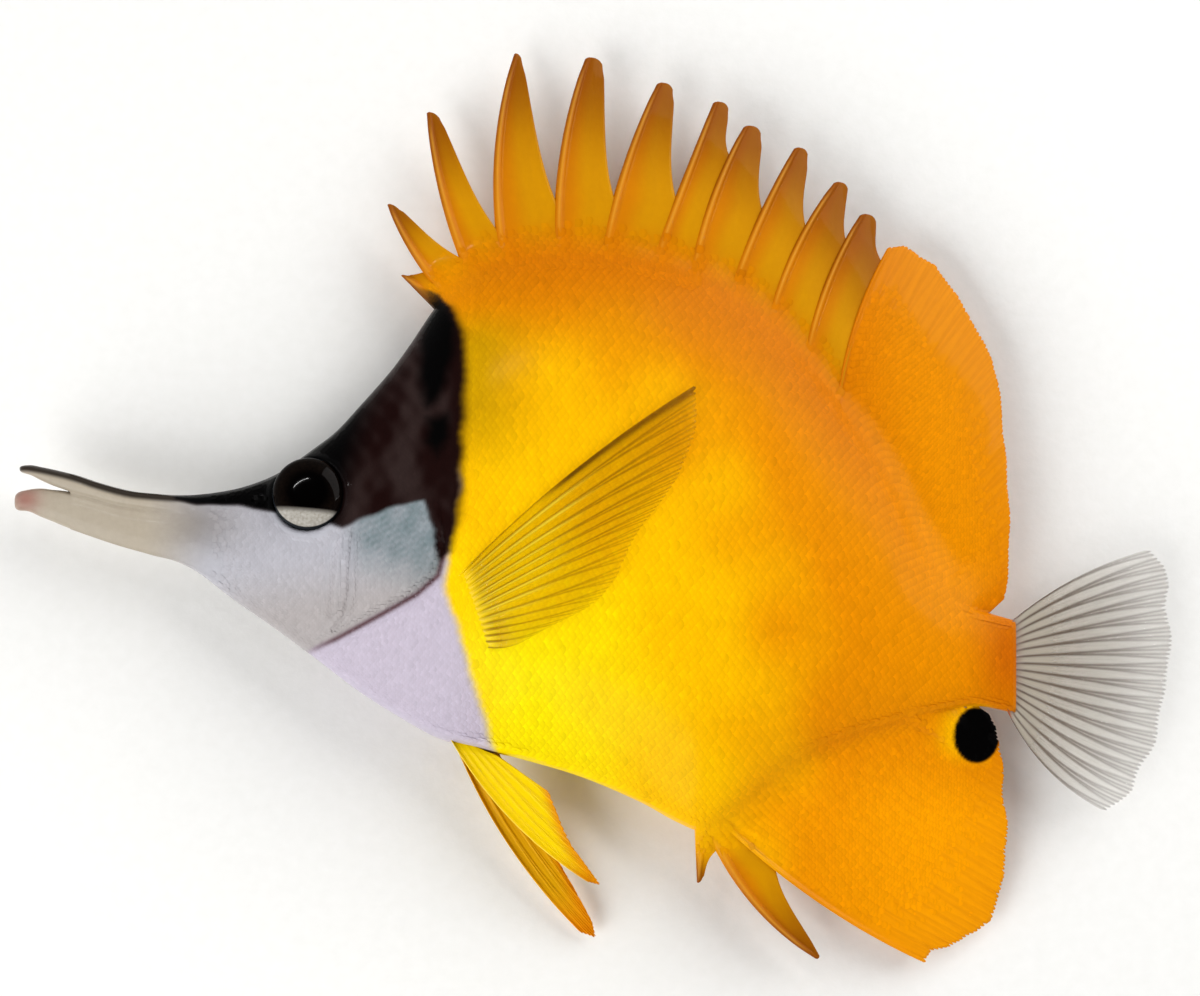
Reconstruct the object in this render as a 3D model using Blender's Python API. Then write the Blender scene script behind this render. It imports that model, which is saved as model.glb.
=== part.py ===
"""A longnose butterflyfish at life size, lying on its right side with its fins spread.

Run it with blender --background --python part.py, or from Blender's text editor.
Sizes here are millimetres and become metres where a mesh is made. +Z is up and the fish rests on
Z = 0. Its snout points to -X and its back to +Y, so its left flank faces up. The body's middle
plane lies level at MIDDLE_Z. The origin is under the middle of the outstretched fish.
"""

import math
from typing import NamedTuple

import bmesh
import bpy
from mathutils import Matrix, Vector, geometry

MM = 0.001
GAP = 0.3  # left between neighbours that touch
FAR = 80.0  # beyond the fish in every direction
SHARP_ANGLE = math.radians(50)  # edges that turn by more aren't shaded smooth

# The body: middle plane, and the curves that shape it, as (X, value) points
MIDDLE_Z = 8.0
BODY_FRONT = -49.4
BODY_REAR = 49.3
BACK = (
    (-49.4, 1.8), (-46.8, 1.9), (-43.3, 2.4), (-40.7, 3.1), (-38.0, 4.2), (-35.6, 5.7), (-33.4, 7.3),
    (-30.8, 9.3), (-28.0, 12.3), (-24.3, 16.5), (-22.1, 19.5), (-19.7, 23.1), (-18.4, 24.8), (-17.0, 26.3),
    (-15.2, 27.5), (-12.6, 28.7), (-8.0, 29.6), (-2.0, 29.9), (5.1, 29.2), (12.2, 27.1), (16.3, 24.8),
    (20.4, 21.7), (25.1, 16.6), (29.9, 10.2), (34.0, 4.1), (37.5, -3.0), (41.1, -8.6), (44.6, -11.4),
    (49.3, -13.0),
)
BELLY = (
    (-49.4, -6.1), (-46.8, -7.5), (-43.3, -10.2), (-38.0, -13.9), (-33.4, -17.3), (-28.0, -21.4),
    (-22.1, -25.1), (-18.4, -27.0), (-13.8, -28.2), (-9.1, -29.3), (-2.0, -31.4), (5.1, -34.4),
    (9.5, -36.8), (12.6, -37.8), (15.8, -35.9), (20.4, -31.8), (25.1, -28.7), (29.9, -26.7),
    (34.0, -25.4), (41.1, -23.6), (45.0, -23.1), (49.3, -23.9),
)
HALF_WIDTH = (
    (-49.4, 1.9), (-43.3, 2.9), (-38.0, 4.3), (-33.4, 5.3), (-28.0, 6.4), (-22.0, 7.5), (-17.0, 8.2),
    (-9.0, 8.7), (0.0, 8.7), (8.0, 8.3), (16.0, 7.4), (25.0, 6.1), (34.0, 4.6), (41.0, 3.2), (45.0, 2.4),
    (49.3, 1.3),
)
# Power that rounds the flank from its widest level to its edges: low is boxy, high is sharp
ROUNDING = ((-49.4, 0.50), (-33.4, 0.38), (-25.0, 0.45), (-15.0, 0.58), (30.0, 0.62), (49.3, 0.50))
# Half the thickness left at the edge of the back and of the belly, where the fins stand on it
BACK_EDGE = ((-49.4, 0.5), (-25.0, 0.4), (-20.0, 0.6), (-16.0, 1.0), (20.0, 1.1), (40.0, 0.9), (49.3, 0.9))
BELLY_EDGE = (
    (-49.4, 0.5), (-25.0, 0.5), (-18.0, 1.4), (-10.0, 1.4), (-5.0, 0.6), (8.0, 0.6), (12.0, 1.1),
    (40.0, 0.9), (49.3, 0.9),
)
WIDEST_LEVEL = 0.42  # share of the body's height, from the belly, where it is widest
RING_STEPS = 12  # spaces down each flank of one cross-section
HEAD_STEP = 1.5  # between cross-sections of the head
TRUNK_STEP = 2.0  # between cross-sections of the trunk

# Where the body is parted: the gill opening behind the gill cover, and the root of the tail
GILL_LINE = (
    (-19.4, 31.0), (-18.3, 24.8), (-17.3, 20.1), (-17.2, 15.4), (-17.8, 9.5), (-18.4, 4.2), (-18.2, 0.1),
    (-17.7, -4.1), (-18.5, -7.3), (-20.9, -9.4), (-24.4, -11.4), (-27.7, -13.2), (-30.3, -14.6),
    (-32.9, -15.8), (-35.3, -17.4), (-37.0, -20.0),
)
GILL_LIFT = 0.45  # how far the gill cover's free edge stands off the body
GILL_LIFT_FROM = -31.0
GILL_LIFT_TO = -19.5
TAIL_CUT_X = 40.6
CHEEK_GROOVE = ((-28.3, -2.4), (-28.7, -5.8), (-28.8, -9.4), (-29.3, -12.0), (-30.6, -13.9))
CHEEK_GROOVE_RADIUS = 0.35
CHEEK_GROOVE_LIFT = 0.1  # its centre line above the skin

# The eye: a flattened ball, tilted to look slightly towards the back, in a low ring of skin
EYE_CENTRE = (-33.4, 1.9)
EYE_RADIUS = 4.35
EYE_DEPTH = 2.3
EYE_Z = 3.6  # from the middle plane to the ball's centre
EYE_TILT = math.radians(12)
EYE_SEGMENTS = 20
ORBIT_RADIUS = 4.65
ORBIT_THICKNESS = 0.35
ORBIT_SEGMENTS = 24
ORBIT_SIDES = 6
NOSTRILS = ((-39.3, 1.5), (-40.3, 1.1))
NOSTRIL_RADIUS = 0.35
NOSTRIL_DEPTH = 0.8
NOSTRIL_LEAN = 0.1
NOSTRIL_SIDES = 8

# The jaws, as (X, upper edge, lower edge, half width) from the snout's root to its tip
UPPER_JAW = (
    (-49.7, 1.8, -0.4, 1.9), (-52.5, 2.0, 0.0, 1.8), (-55.1, 2.3, 0.5, 1.7), (-58.6, 3.2, 1.3, 1.5),
    (-61.6, 4.2, 2.0, 1.4), (-64.0, 4.8, 2.9, 1.3), (-65.7, 5.15, 3.6, 1.3), (-67.1, 5.35, 4.2, 1.2),
    (-67.8, 5.3, 4.5, 0.9), (-68.1, 5.1, 4.7, 0.5),
)
LOWER_JAW = (
    (-49.7, -0.75, -6.0, 2.0), (-52.5, -0.35, -5.2, 1.9), (-56.4, 0.35, -4.1, 1.75), (-60.0, 1.2, -2.9, 1.6),
    (-62.5, 1.95, -2.0, 1.5), (-64.2, 2.35, -1.3, 1.45), (-65.7, 2.5, -0.7, 1.45), (-67.1, 2.5, -0.1, 1.4),
    (-68.1, 2.2, 0.3, 1.1), (-68.7, 1.6, 0.8, 0.5),
)
JAW_SIDES = 14
JAW_SQUARENESS = 0.8

# Back fin. Each spine's front edge is (root X, tip, bow ahead of its line, share of its length where the
# web ahead of it ends, width of its tip with its own web).
BACK_SPINES = (
    (-19.2, (-23.2, 27.8), 0.0, 0.0, 0.5),
    (-18.1, (-24.9, 36.3), 0.6, 0.25, 0.9),
    (-15.3, (-20.3, 47.4), 0.8, 0.08, 1.3),
    (-11.4, (-9.9, 54.65), 1.5, 0.12, 0.4),
    (-5.0, (-1.4, 54.2), 1.2, 0.22, 1.6),
    (0.3, (7.2, 51.0), 0.75, 0.28, 1.6),
    (6.2, (13.9, 48.7), 0.1, 0.36, 1.6),
    (10.6, (17.5, 45.8), 0.75, 0.76, 1.8),
    (15.2, (23.5, 43.2), 0.5, 0.53, 1.4),
    (19.7, (28.2, 39.1), 0.9, 0.63, 1.4),
    (24.0, (31.3, 35.3), 0.9, 0.79, 1.8),
)
BACK_LAST_SPINE = (28.0, (34.7, 31.5), 1.0, 0.90)  # leads the soft part
BACK_LAST_SPINE_HALF = 0.55
BACK_MARGIN = (
    (36.4, 31.9), (37.7, 30.5), (40.6, 29.3), (42.6, 26.2), (45.0, 22.1), (46.9, 18.9), (47.9, 14.8),
    (48.5, 7.8), (49.0, -0.5), (48.8, -7.0), (48.2, -10.3),
)
BACK_RAYS = 22
BACK_RAY_ROOTS = (28.6, 46.4)
BACK_DROOP = 0.0065  # how far the fin sinks, times the square of the distance from its root

# Belly fin: two free spines, then a third that leads the rays
BELLY_SPINES = (
    (11.6, (11.8, -44.0), 0.0, 0.0, 0.5),
    (12.9, (26.0, -53.4), -1.5, 0.10, 0.5),
)
BELLY_LAST_SPINE = (14.6, (39.7, -54.5), -1.15, 0.25)
BELLY_LAST_SPINE_HALF = 0.6
BELLY_MARGIN = (
    (38.3, -52.9), (39.9, -52.7), (43.2, -52.0), (45.4, -51.1), (47.1, -49.4), (48.3, -46.6), (49.0, -42.5),
    (49.0, -38.6), (48.6, -34.7), (48.0, -29.4), (47.2, -26.6),
)
BELLY_RAYS = 18
BELLY_RAY_ROOTS = (15.6, 45.4)
BELLY_DROOP = 0.0055

# Spines, webs and rays
SPINE_RADIUS = (0.66, 0.32)  # at its root and its tip
SPINE_ROWS = (3, 4)  # rows of points below and above the web ahead of it
SPINE_CREST_SHARE = 0.3  # most of its web's width that half a spine takes
SPINE_TIP_DROP = 0.3  # from its tip to the top of its own web
FIN_ROOT_HALF = 0.95
FIN_ROOT_FADE = 4.0
ROOT_CLEARANCE = GAP + 0.04
WEB_HALF = 0.26
WEB_EDGE_HALF = 0.2
RAY_RIDGE = 0.17
RAY_ROWS = 6
RAY_THINS_FROM = 0.3  # share of a ray's length where it starts to thin to the web's edge
SCALLOP = 0.02  # how far the web between two tips falls short of them
FIN_BORDER = 0.4  # rounded border ahead of the first ray and behind the last

# Tail fin
TAIL_ROOT = ((49.65, -13.5), (49.65, -23.5))
TAIL_MARGIN = (
    (66.5, -4.5), (68.0, -7.0), (68.7, -11.5), (68.7, -17.0), (68.0, -22.5), (66.5, -28.5), (64.2, -33.2),
    (61.0, -36.1),
)
TAIL_RAYS = 17
TAIL_BOWS = (1.3, -1.6)
TAIL_DROOP = 0.010
TAIL_ROOT_HALF = 0.85
TAIL_LEAD_HALF = 0.5

# Side fins, one spread over each flank; the right one lies in a shallow bed under the body
SIDE_ROOT = ((-15.9, -7.4), (-13.2, -15.7))
SIDE_MARGIN = (
    (11.8, 14.8), (11.4, 9.4), (10.4, 5.1), (7.3, 0.9), (4.1, -3.4), (2.6, -7.5), (0.5, -10.2), (-2.0, -11.7),
    (-5.4, -13.4), (-8.2, -14.9),
)
SIDE_RAYS = 15
SIDE_BOWS = (1.1, -0.5)
SIDE_ARCH = 0.9
SIDE_ARCH_RISE = 0.72  # how soon the arch reaches its height: its root half is steeper
SIDE_ROOT_HALF = 0.4
SIDE_RIDGE = 0.12
SIDE_FLOOR_Z = 0.42
BED_DEPTH = 1.14
BED_MARGIN = 1.0
BED_CORNER_SIDES = 8

# Breast fins: a spine and five rays each, hanging from both sides of the belly's edge
BREAST_ROOTS = (-16.6, -11.4)
LEFT_BREAST_TIPS = ((-0.9, -44.0), (0.5, -44.4), (-0.9, -42.4), (-2.8, -39.7), (-4.2, -36.6), (-5.6, -33.2))
RIGHT_BREAST_TIPS = ((-1.8, -50.9), (-0.1, -51.5), (-0.6, -49.3), (-2.5, -45.5), (-4.8, -41.4), (-7.2, -36.6))
BREAST_BOW = -1.35
BREAST_BOW_SHARES = (1.0, 0.85, 0.5, 0.25, 0.0, 0.0)  # of that bow, from the spine to the last ray
BREAST_Z = 0.85
BREAST_ROOT_HALF = 0.5
BREAST_SPINE_HALF = 0.45
BREAST_FALL_POWER = 1.2
LEFT_BREAST_FALL = 1.2
RIGHT_BREAST_FALL = 5.6

LEMON = (0.98, 0.78, 0.02)
ORANGE = (0.93, 0.50, 0.01)
MASK_AND_CHEEK = (0.36, 0.33, 0.36)
JAW_GREY = (0.45, 0.40, 0.38)
EYE_BLACK = (0.02, 0.02, 0.02)
CLEAR_WEB = (0.62, 0.60, 0.58)
SKIN_ROUGHNESS = 0.3
WEB_ROUGHNESS = 0.2
EYE_ROUGHNESS = 0.08
TAIL_ALPHA = 0.6
SIDE_FIN_ALPHA = 0.7


def clear_scene():
    for old in list(bpy.data.objects):
        bpy.data.objects.remove(old)


def through(points, x):
    """The value at x of a smooth curve through (X, value) points."""
    if x <= points[0][0]:
        return points[0][1]
    if x >= points[-1][0]:
        return points[-1][1]

    def slope(i):
        before, after = points[max(i - 1, 0)], points[min(i + 1, len(points) - 1)]
        return (after[1] - before[1]) / (after[0] - before[0])

    i = next(k for k in range(len(points) - 1) if x <= points[k + 1][0])
    (x0, y0), (x1, y1) = points[i], points[i + 1]
    span = x1 - x0
    t = (x - x0) / span
    lift = slope(i) * span * (t - 2 * t**2 + t**3)
    fall = slope(i + 1) * span * (t**3 - t**2)
    return y0 + (y1 - y0) * (3 * t**2 - 2 * t**3) + lift + fall


def ease(low, high, value):
    """0 below low, 1 above high, and a smooth rise between."""
    t = min(1.0, max(0.0, (value - low) / (high - low)))
    return t * t * (3 - 2 * t)


def spread(points, count):
    """count points evenly spaced along a line through points."""
    corners = [Vector(p) for p in points]
    lengths = [(b - a).length for a, b in zip(corners, corners[1:])]
    made = []
    for k in range(count):
        left = sum(lengths) * k / (count - 1)
        for a, b, length in zip(corners, corners[1:], lengths):
            if left <= length or b is corners[-1]:
                made.append(a.lerp(b, min(1.0, left / length)))
                break
            left -= length
    return made


def between(ends, count):
    """count numbers evenly spaced from the first end to the last."""
    first, last = ends
    return [first + (last - first) * k / (count - 1) for k in range(count)]


def shifted(points, distance):
    """A line through points moved to its left by distance."""
    line = [Vector(p) for p in points]
    moved = []
    for i, p in enumerate(line):
        along = (line[min(i + 1, len(line) - 1)] - line[max(i - 1, 0)]).normalized()
        moved.append(p + Vector((-along.y, along.x)) * distance)
    return moved


def half_thickness(x, y):
    """Half the body's thickness at a point of its side view."""
    top, bottom = through(BACK, x), through(BELLY, x)
    level = bottom + WIDEST_LEVEL * (top - bottom)
    edge = through(BACK_EDGE if y > level else BELLY_EDGE, x)
    reach = top - level if y > level else level - bottom
    outward = min(1.0, abs(y - level) / reach)
    return edge + (through(HALF_WIDTH, x) - edge) * (1 - outward**2) ** through(ROUNDING, x)


def gill_lift(x):
    """How far the gill cover stands off the body at x."""
    return GILL_LIFT * ease(GILL_LIFT_FROM, GILL_LIFT_TO, x)


def fin_root(edge, x, side):
    """The point just clear of the body's edge at x, above the back (side 1) or below the belly (side -1)."""
    step = 0.2
    slope = (through(edge, x + step) - through(edge, x - step)) / (2 * step)
    outward = Vector((-slope, 1.0)).normalized() * side
    return Vector((x, through(edge, x))) + outward * ROOT_CLEARANCE


def paint(node, colour, roughness=SKIN_ROUGHNESS, alpha=1.0):
    """Gives a node its material and smooth shading."""
    material = bpy.data.materials.new(node.name)
    material.use_nodes = True
    shader = material.node_tree.nodes["Principled BSDF"]
    shader.inputs["Base Color"].default_value = (*colour, 1.0)
    shader.inputs["Roughness"].default_value = roughness
    shader.inputs["Metallic"].default_value = 0.0
    shader.inputs["Alpha"].default_value = alpha
    node.data.materials.clear()
    node.data.materials.append(material)
    node.data.shade_smooth()
    node.data.set_sharp_from_angle(angle=SHARP_ANGLE)


def add_object(name, mesh):
    made = bpy.data.objects.new(name, mesh)
    bpy.context.scene.collection.objects.link(made)
    return made


def add_mesh(name, points, faces):
    """A mesh object from points in millimetres, with its faces turned outwards."""
    mesh = bpy.data.meshes.new(name)
    mesh.from_pydata([Vector(p) * MM for p in points], [], faces)
    shape = bmesh.new()
    shape.from_mesh(mesh)
    bmesh.ops.recalc_face_normals(shape, faces=shape.faces)
    shape.to_mesh(mesh)
    shape.free()
    return add_object(name, mesh)


def prism(name, outline, low=-FAR, high=FAR):
    """An outline in X and Y, made solid between two heights."""
    count = len(outline)
    points = [(p[0], p[1], z) for z in (low, high) for p in outline]
    sides = [(i, (i + 1) % count, (i + 1) % count + count, i + count) for i in range(count)]
    return add_mesh(name, points, [tuple(range(count)), tuple(range(count, 2 * count)), *sides])


def tube(name, path, radius, sides=6):
    """A tube along a path of points, with flat ends."""
    rings = []
    for i, centre in enumerate(path):
        along = (path[min(i + 1, len(path) - 1)] - path[max(i - 1, 0)]).normalized()
        across = along.cross(Vector((0, 0, 1))).normalized()
        up = across.cross(along)
        turns = [2 * math.pi * k / sides for k in range(sides)]
        rings.append([centre + (across * math.cos(t) + up * math.sin(t)) * radius for t in turns])
    return loft(name, rings)


def loft(name, rings):
    """A solid skinned over rings that have the same number of points."""
    sides = len(rings[0])
    points = [p for ring in rings for p in ring]
    faces = [
        (r * sides + k, r * sides + (k + 1) % sides, (r + 1) * sides + (k + 1) % sides, (r + 1) * sides + k)
        for r in range(len(rings) - 1)
        for k in range(sides)
    ]
    last = len(points) - sides
    return add_mesh(name, points, [*faces, tuple(range(sides)), tuple(range(last, last + sides))])


def carve(node, operation, helpers):
    """Joins, cuts or keeps node by the helper solids, one Boolean for them all, and removes them."""
    group = bpy.data.collections.new("helpers")
    for helper in helpers:
        group.objects.link(helper)
    modifier = node.modifiers.new(operation.title(), "BOOLEAN")
    modifier.operation = operation
    modifier.solver = "EXACT"
    modifier.operand_type = "COLLECTION"
    modifier.collection = group
    graph = bpy.context.evaluated_depsgraph_get()
    settled = bpy.data.meshes.new_from_object(node.evaluated_get(graph))
    node.modifiers.clear()
    node.data = settled
    for helper in helpers:
        bpy.data.objects.remove(helper)
    bpy.data.collections.remove(group)
    keep_largest(node)


def keep_largest(node):
    """Drops loose scraps that a cut leaves beside the main body."""
    shape = bmesh.new()
    shape.from_mesh(node.data)
    left, groups = set(shape.faces), []
    while left:
        todo, group = [left.pop()], set()
        while todo:
            face = todo.pop()
            group.add(face)
            near = {f for edge in face.edges for f in edge.link_faces} & left
            left -= near
            todo.extend(near)
        groups.append(group)
    largest = max(groups, key=len)
    scraps = [face for face in shape.faces if face not in largest]
    bmesh.ops.delete(shape, geom=scraps, context="FACES")
    shape.to_mesh(node.data)
    shape.free()


def body_ring(x, lift):
    """One cross-section, down the left flank from the back and up the right one, which lies on the floor."""
    top, bottom = through(BACK, x), through(BELLY, x)
    level = bottom + WIDEST_LEVEL * (top - bottom)
    left, right = [], []
    for k in range(RING_STEPS + 1):
        turn = math.cos(math.pi * k / RING_STEPS)
        y = level + turn * (top - level if turn > 0 else level - bottom)
        thick = half_thickness(x, y) + lift
        left.append((x, y, MIDDLE_Z + thick))
        right.append((x, y, max(0.0, MIDDLE_Z - thick)))
    return left + right[::-1]


def whole_body(name, lift):
    """The body from the snout's root to the tail fin's root. lift gives what stands on it at each x."""
    stations = [BODY_FRONT]
    while stations[-1] < BODY_REAR - TRUNK_STEP:
        stations.append(stations[-1] + (HEAD_STEP if stations[-1] < GILL_LIFT_TO else TRUNK_STEP))
    stations[-1] = BODY_REAR
    return loft(name, [body_ring(x, lift(x)) for x in stations])


def set_in_socket(shape, side):
    """Moves a shape modelled about the eye's centre to side 1, the left, or -1, the right."""
    shape.location = Vector((*EYE_CENTRE, MIDDLE_Z + EYE_Z * side)) * MM
    shape.rotation_euler.x = -EYE_TILT * side
    return shape


def eyeball(name, side, grow):
    """A flattened ball, bigger than the eye by grow."""
    mesh = bpy.data.meshes.new(name)
    shape = bmesh.new()
    bmesh.ops.create_uvsphere(shape, u_segments=EYE_SEGMENTS, v_segments=EYE_SEGMENTS // 2, radius=MM)
    size = Matrix.Diagonal((EYE_RADIUS + grow, EYE_RADIUS + grow, EYE_DEPTH + grow, 1.0))
    bmesh.ops.transform(shape, matrix=size, verts=shape.verts)
    shape.to_mesh(mesh)
    shape.free()
    return set_in_socket(add_object(name, mesh), side)


def orbit_rim(side):
    """The low ring of skin around an eye."""
    points, faces = [], []
    for i in range(ORBIT_SEGMENTS):
        angle = 2 * math.pi * i / ORBIT_SEGMENTS
        for k in range(ORBIT_SIDES):
            around = 2 * math.pi * k / ORBIT_SIDES
            radius = ORBIT_RADIUS + ORBIT_THICKNESS * math.cos(around)
            rise = ORBIT_THICKNESS * math.sin(around)
            points.append((radius * math.cos(angle), radius * math.sin(angle), rise))
            a, b = i * ORBIT_SIDES + k, i * ORBIT_SIDES + (k + 1) % ORBIT_SIDES
            corners = (a, b, b + ORBIT_SIDES, a + ORBIT_SIDES)
            faces.append(tuple(v % (ORBIT_SEGMENTS * ORBIT_SIDES) for v in corners))
    return set_in_socket(add_mesh("orbit", points, faces), side)


def on_flank(x, y, side, lift):
    return Vector((x, y, MIDDLE_Z + side * (half_thickness(x, y) + lift)))


def cheek_groove(side):
    """Cutter for the groove down the cheek, where the gill cover starts."""
    path = [on_flank(x, y, side, gill_lift(x) + CHEEK_GROOVE_LIFT) for x, y in CHEEK_GROOVE]
    return tube("cheek_groove", path, CHEEK_GROOVE_RADIUS)


def nostril(x, y, side):
    """Cutter for one nostril: a short round hole into the flank."""
    mouth = on_flank(x, y, side, NOSTRIL_DEPTH / 2)
    inner = mouth + Vector((NOSTRIL_LEAN, 0, -side * 1.5 * NOSTRIL_DEPTH))
    return tube("nostril", [mouth, inner], NOSTRIL_RADIUS, NOSTRIL_SIDES)


def make_head():
    head = whole_body("head", gill_lift)
    ahead_of_gill = [*shifted(GILL_LINE, -GAP / 2), Vector((-FAR, -FAR)), Vector((-FAR, FAR))]
    carve(head, "INTERSECT", [prism("front", ahead_of_gill)])
    carve(head, "UNION", [orbit_rim(1), orbit_rim(-1)])
    cutters = []
    for side in (1, -1):
        cutters += [eyeball("socket", side, GAP), cheek_groove(side)]
        cutters += [nostril(x, y, side) for x, y in NOSTRILS]
    carve(head, "DIFFERENCE", cutters)
    paint(head, MASK_AND_CHEEK)


def make_trunk():
    trunk = whole_body("trunk", lambda x: 0.0)
    behind_gill = shifted(GILL_LINE, GAP / 2)
    below_gill = Vector((behind_gill[-1].x, -FAR))
    tail_side = [Vector((TAIL_CUT_X - GAP / 2, y)) for y in (-FAR, FAR)]
    carve(trunk, "INTERSECT", [prism("middle", [*behind_gill, below_gill, *tail_side])])
    carve(trunk, "DIFFERENCE", [prism("bed", side_fin_bed(), high=BED_DEPTH)])
    paint(trunk, LEMON)


def make_tail_stem():
    stem = whole_body("tail_stem", lambda x: 0.0)
    start = TAIL_CUT_X + GAP / 2
    behind = [Vector(p) for p in ((start, -FAR), (FAR, -FAR), (FAR, FAR), (start, FAR))]
    carve(stem, "INTERSECT", [prism("rear", behind)])
    paint(stem, ORANGE)


def make_jaw(name, stations):
    rings = []
    for x, top, bottom, half in stations:
        ring = []
        for k in range(JAW_SIDES):
            turn = 2 * math.pi * k / JAW_SIDES
            up, out = math.cos(turn), math.sin(turn)
            y = (top + bottom) / 2 + math.copysign(abs(up) ** JAW_SQUARENESS, up) * (top - bottom) / 2
            ring.append((x, y, MIDDLE_Z + math.copysign(abs(out) ** JAW_SQUARENESS, out) * half))
        rings.append(ring)
    paint(loft(name, rings), JAW_GREY)


def make_eye(name, side):
    paint(eyeball(name, side, 0.0), EYE_BLACK, EYE_ROUGHNESS)


class Web:
    """A thin plate over triangles seen from above. Both faces are split into the same triangles."""

    def __init__(self):
        self.points, self.faces, self.known = [], [], {}

    def add(self, place, z, half):
        key = (round(place.x, 3), round(place.y, 3))
        if key not in self.known:
            self.known[key] = len(self.points)
            self.points.append((place.x, place.y, z, half))
        return self.known[key]

    def triangle(self, a, b, c):
        (ax, ay), (bx, by), (cx, cy) = (self.points[i][:2] for i in (a, b, c))
        area = (bx - ax) * (cy - ay) - (cx - ax) * (by - ay)
        if len({a, b, c}) == 3 and abs(area) > 1e-6:
            self.faces.append((a, b, c) if area > 0 else (a, c, b))

    def grid(self, columns):
        """Covers the space between neighbouring columns of points, all of them as long."""
        for first, second in zip(columns, columns[1:]):
            for r in range(len(first) - 1):
                self.triangle(first[r], second[r], second[r + 1])
                self.triangle(first[r], second[r + 1], first[r + 1])

    def solid(self, name):
        count = len(self.points)
        points = [(x, y, z + half) for x, y, z, half in self.points]
        points += [(x, y, z - half) for x, y, z, half in self.points]
        edges = {edge for a, b, c in self.faces for edge in ((a, b), (b, c), (c, a))}
        faces = list(self.faces) + [(c + count, b + count, a + count) for a, b, c in self.faces]
        for a, b in edges:
            if (b, a) not in edges:
                faces += [(b, a, a + count), (b, a + count, b + count)]
        return add_mesh(name, points, faces)


def bowed(root, tip, bow, share):
    """The point at share of the way along a ray that bows to the left of its line."""
    along = tip - root
    left = Vector((-along.y, along.x)).normalized()
    return root.lerp(tip, share) + left * bow * 4 * share * (1 - share)


def root_fade(distance, root_half, half):
    """The fin's half thickness, from its thick root to half."""
    left = max(0.0, 1 - distance / FIN_ROOT_FADE)
    return half + (root_half - half) * left**2


class MedianFin(NamedTuple):
    """A fin on the back or belly: its free spines are one node, its last spine and soft rays another."""

    nodes: tuple
    edge: tuple  # the body's edge that it stands on
    side: int  # 1 above the back, -1 below the belly
    spines: tuple
    last_spine: tuple
    last_spine_half: float
    parting: tuple  # how far ahead of the last spine the first node ends, at its root and at its tip
    ray_roots: tuple
    margin: tuple
    rays: int
    droop: float


def spiny_web(web, fin):
    """Adds a fin's free spines, each with its web running down to the front of the next spine."""
    shared_rows, free_rows = SPINE_ROWS

    def front(spine, row):
        x, tip, bow, meeting = spine[:4]
        if row <= shared_rows:
            share = meeting * row / shared_rows
        else:
            share = meeting + (1 - meeting) * (row - shared_rows) / free_rows
        return bowed(fin_root(fin.edge, x, fin.side), Vector(tip), bow, share), share

    x, tip, bow, meeting = fin.last_spine
    at_root, at_tip = fin.parting
    line = [*fin.spines, (x - at_root, Vector(tip) - Vector(at_tip), bow, meeting)]
    for spine, following in zip(line, line[1:]):
        columns = [[] for _ in range(5)]
        root, tip = front(spine, 0)[0], Vector(spine[1])
        notch, _ = front(following, shared_rows)
        corner = tip + (notch - tip).normalized() * SPINE_TIP_DROP + Vector((spine[4], 0))
        for row in range(shared_rows + free_rows + 1):
            lead, share = front(spine, row)
            if row <= shared_rows:
                trail, _ = front(following, row)
            else:
                trail = notch.lerp(corner, (row - shared_rows) / free_rows)
            radius = SPINE_RADIUS[0] + (SPINE_RADIUS[1] - SPINE_RADIUS[0]) * share
            crest = min(radius / (trail - lead).length, SPINE_CREST_SHARE)
            distance = (lead - root).length
            z = MIDDLE_Z - fin.droop * distance**2
            wheres = (0.0, crest, 2 * crest, crest + 0.5, 1.0)
            halves = (WEB_HALF, radius, WEB_HALF, WEB_HALF, WEB_EDGE_HALF if row > shared_rows else WEB_HALF)
            for column, where, half in zip(columns, wheres, halves):
                place = lead.lerp(trail, where)
                if row == 0:
                    place = fin_root(fin.edge, spine[0] + (following[0] - spine[0]) * where, fin.side)
                column.append(web.add(place, z, root_fade(distance, FIN_ROOT_HALF, half)))
        web.grid(columns)


def ray_lines(roots, tips, bows, crest, first_crest):
    """Lines from root to tip, each with its half thickness: the rays, and the web's middle between them."""
    rows = range(RAY_ROWS + 1)
    rays = [[bowed(root, tip, bow, r / RAY_ROWS) for r in rows] for root, tip, bow in zip(roots, tips, bows)]
    lines = [(rays[0], first_crest)]
    for ray, following in zip(rays, rays[1:]):
        middle = [a.lerp(b, 0.5) for a, b in zip(ray, following)]
        middle[-1] = middle[-1].lerp(middle[-2], SCALLOP * RAY_ROWS)
        lines += [(middle, WEB_HALF), (following, crest)]
    return lines


def fin_border(ray, beside):
    """The rounded edge of a fin outside its end ray, away from the ray beside that one."""
    along = (ray[-1] - ray[0]).normalized()
    outward = Vector((-along.y, along.x)) * FIN_BORDER
    if outward.dot(beside[-2] - ray[-2]) > 0:
        outward = -outward
    return [p + outward for p in ray[:-1]] + [ray[-1] + outward / 2]


def rayed_web(web, roots, tips, bows, height, root_half, ridge=RAY_RIDGE, first_crest=None):
    """Adds a fan of rays with web between them.

    height gives the middle plane at (place, distance from the root, half thickness).
    """
    crest = WEB_HALF + ridge
    lines = ray_lines(roots, tips, bows, crest, first_crest or crest)
    lines.insert(0, (fin_border(lines[0][0], lines[2][0]), WEB_EDGE_HALF))
    lines.append((fin_border(lines[-1][0], lines[-3][0]), WEB_EDGE_HALF))
    columns = []
    for places, thick in lines:
        column = []
        for row, place in enumerate(places):
            thinned = max(0.0, row / RAY_ROWS - RAY_THINS_FROM) / (1 - RAY_THINS_FROM)
            distance = (place - places[0]).length
            half = root_fade(distance, root_half, thick + (WEB_EDGE_HALF - thick) * thinned)
            column.append(web.add(place, height(place, distance, half), half))
        columns.append(column)
    web.grid(columns)


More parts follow.
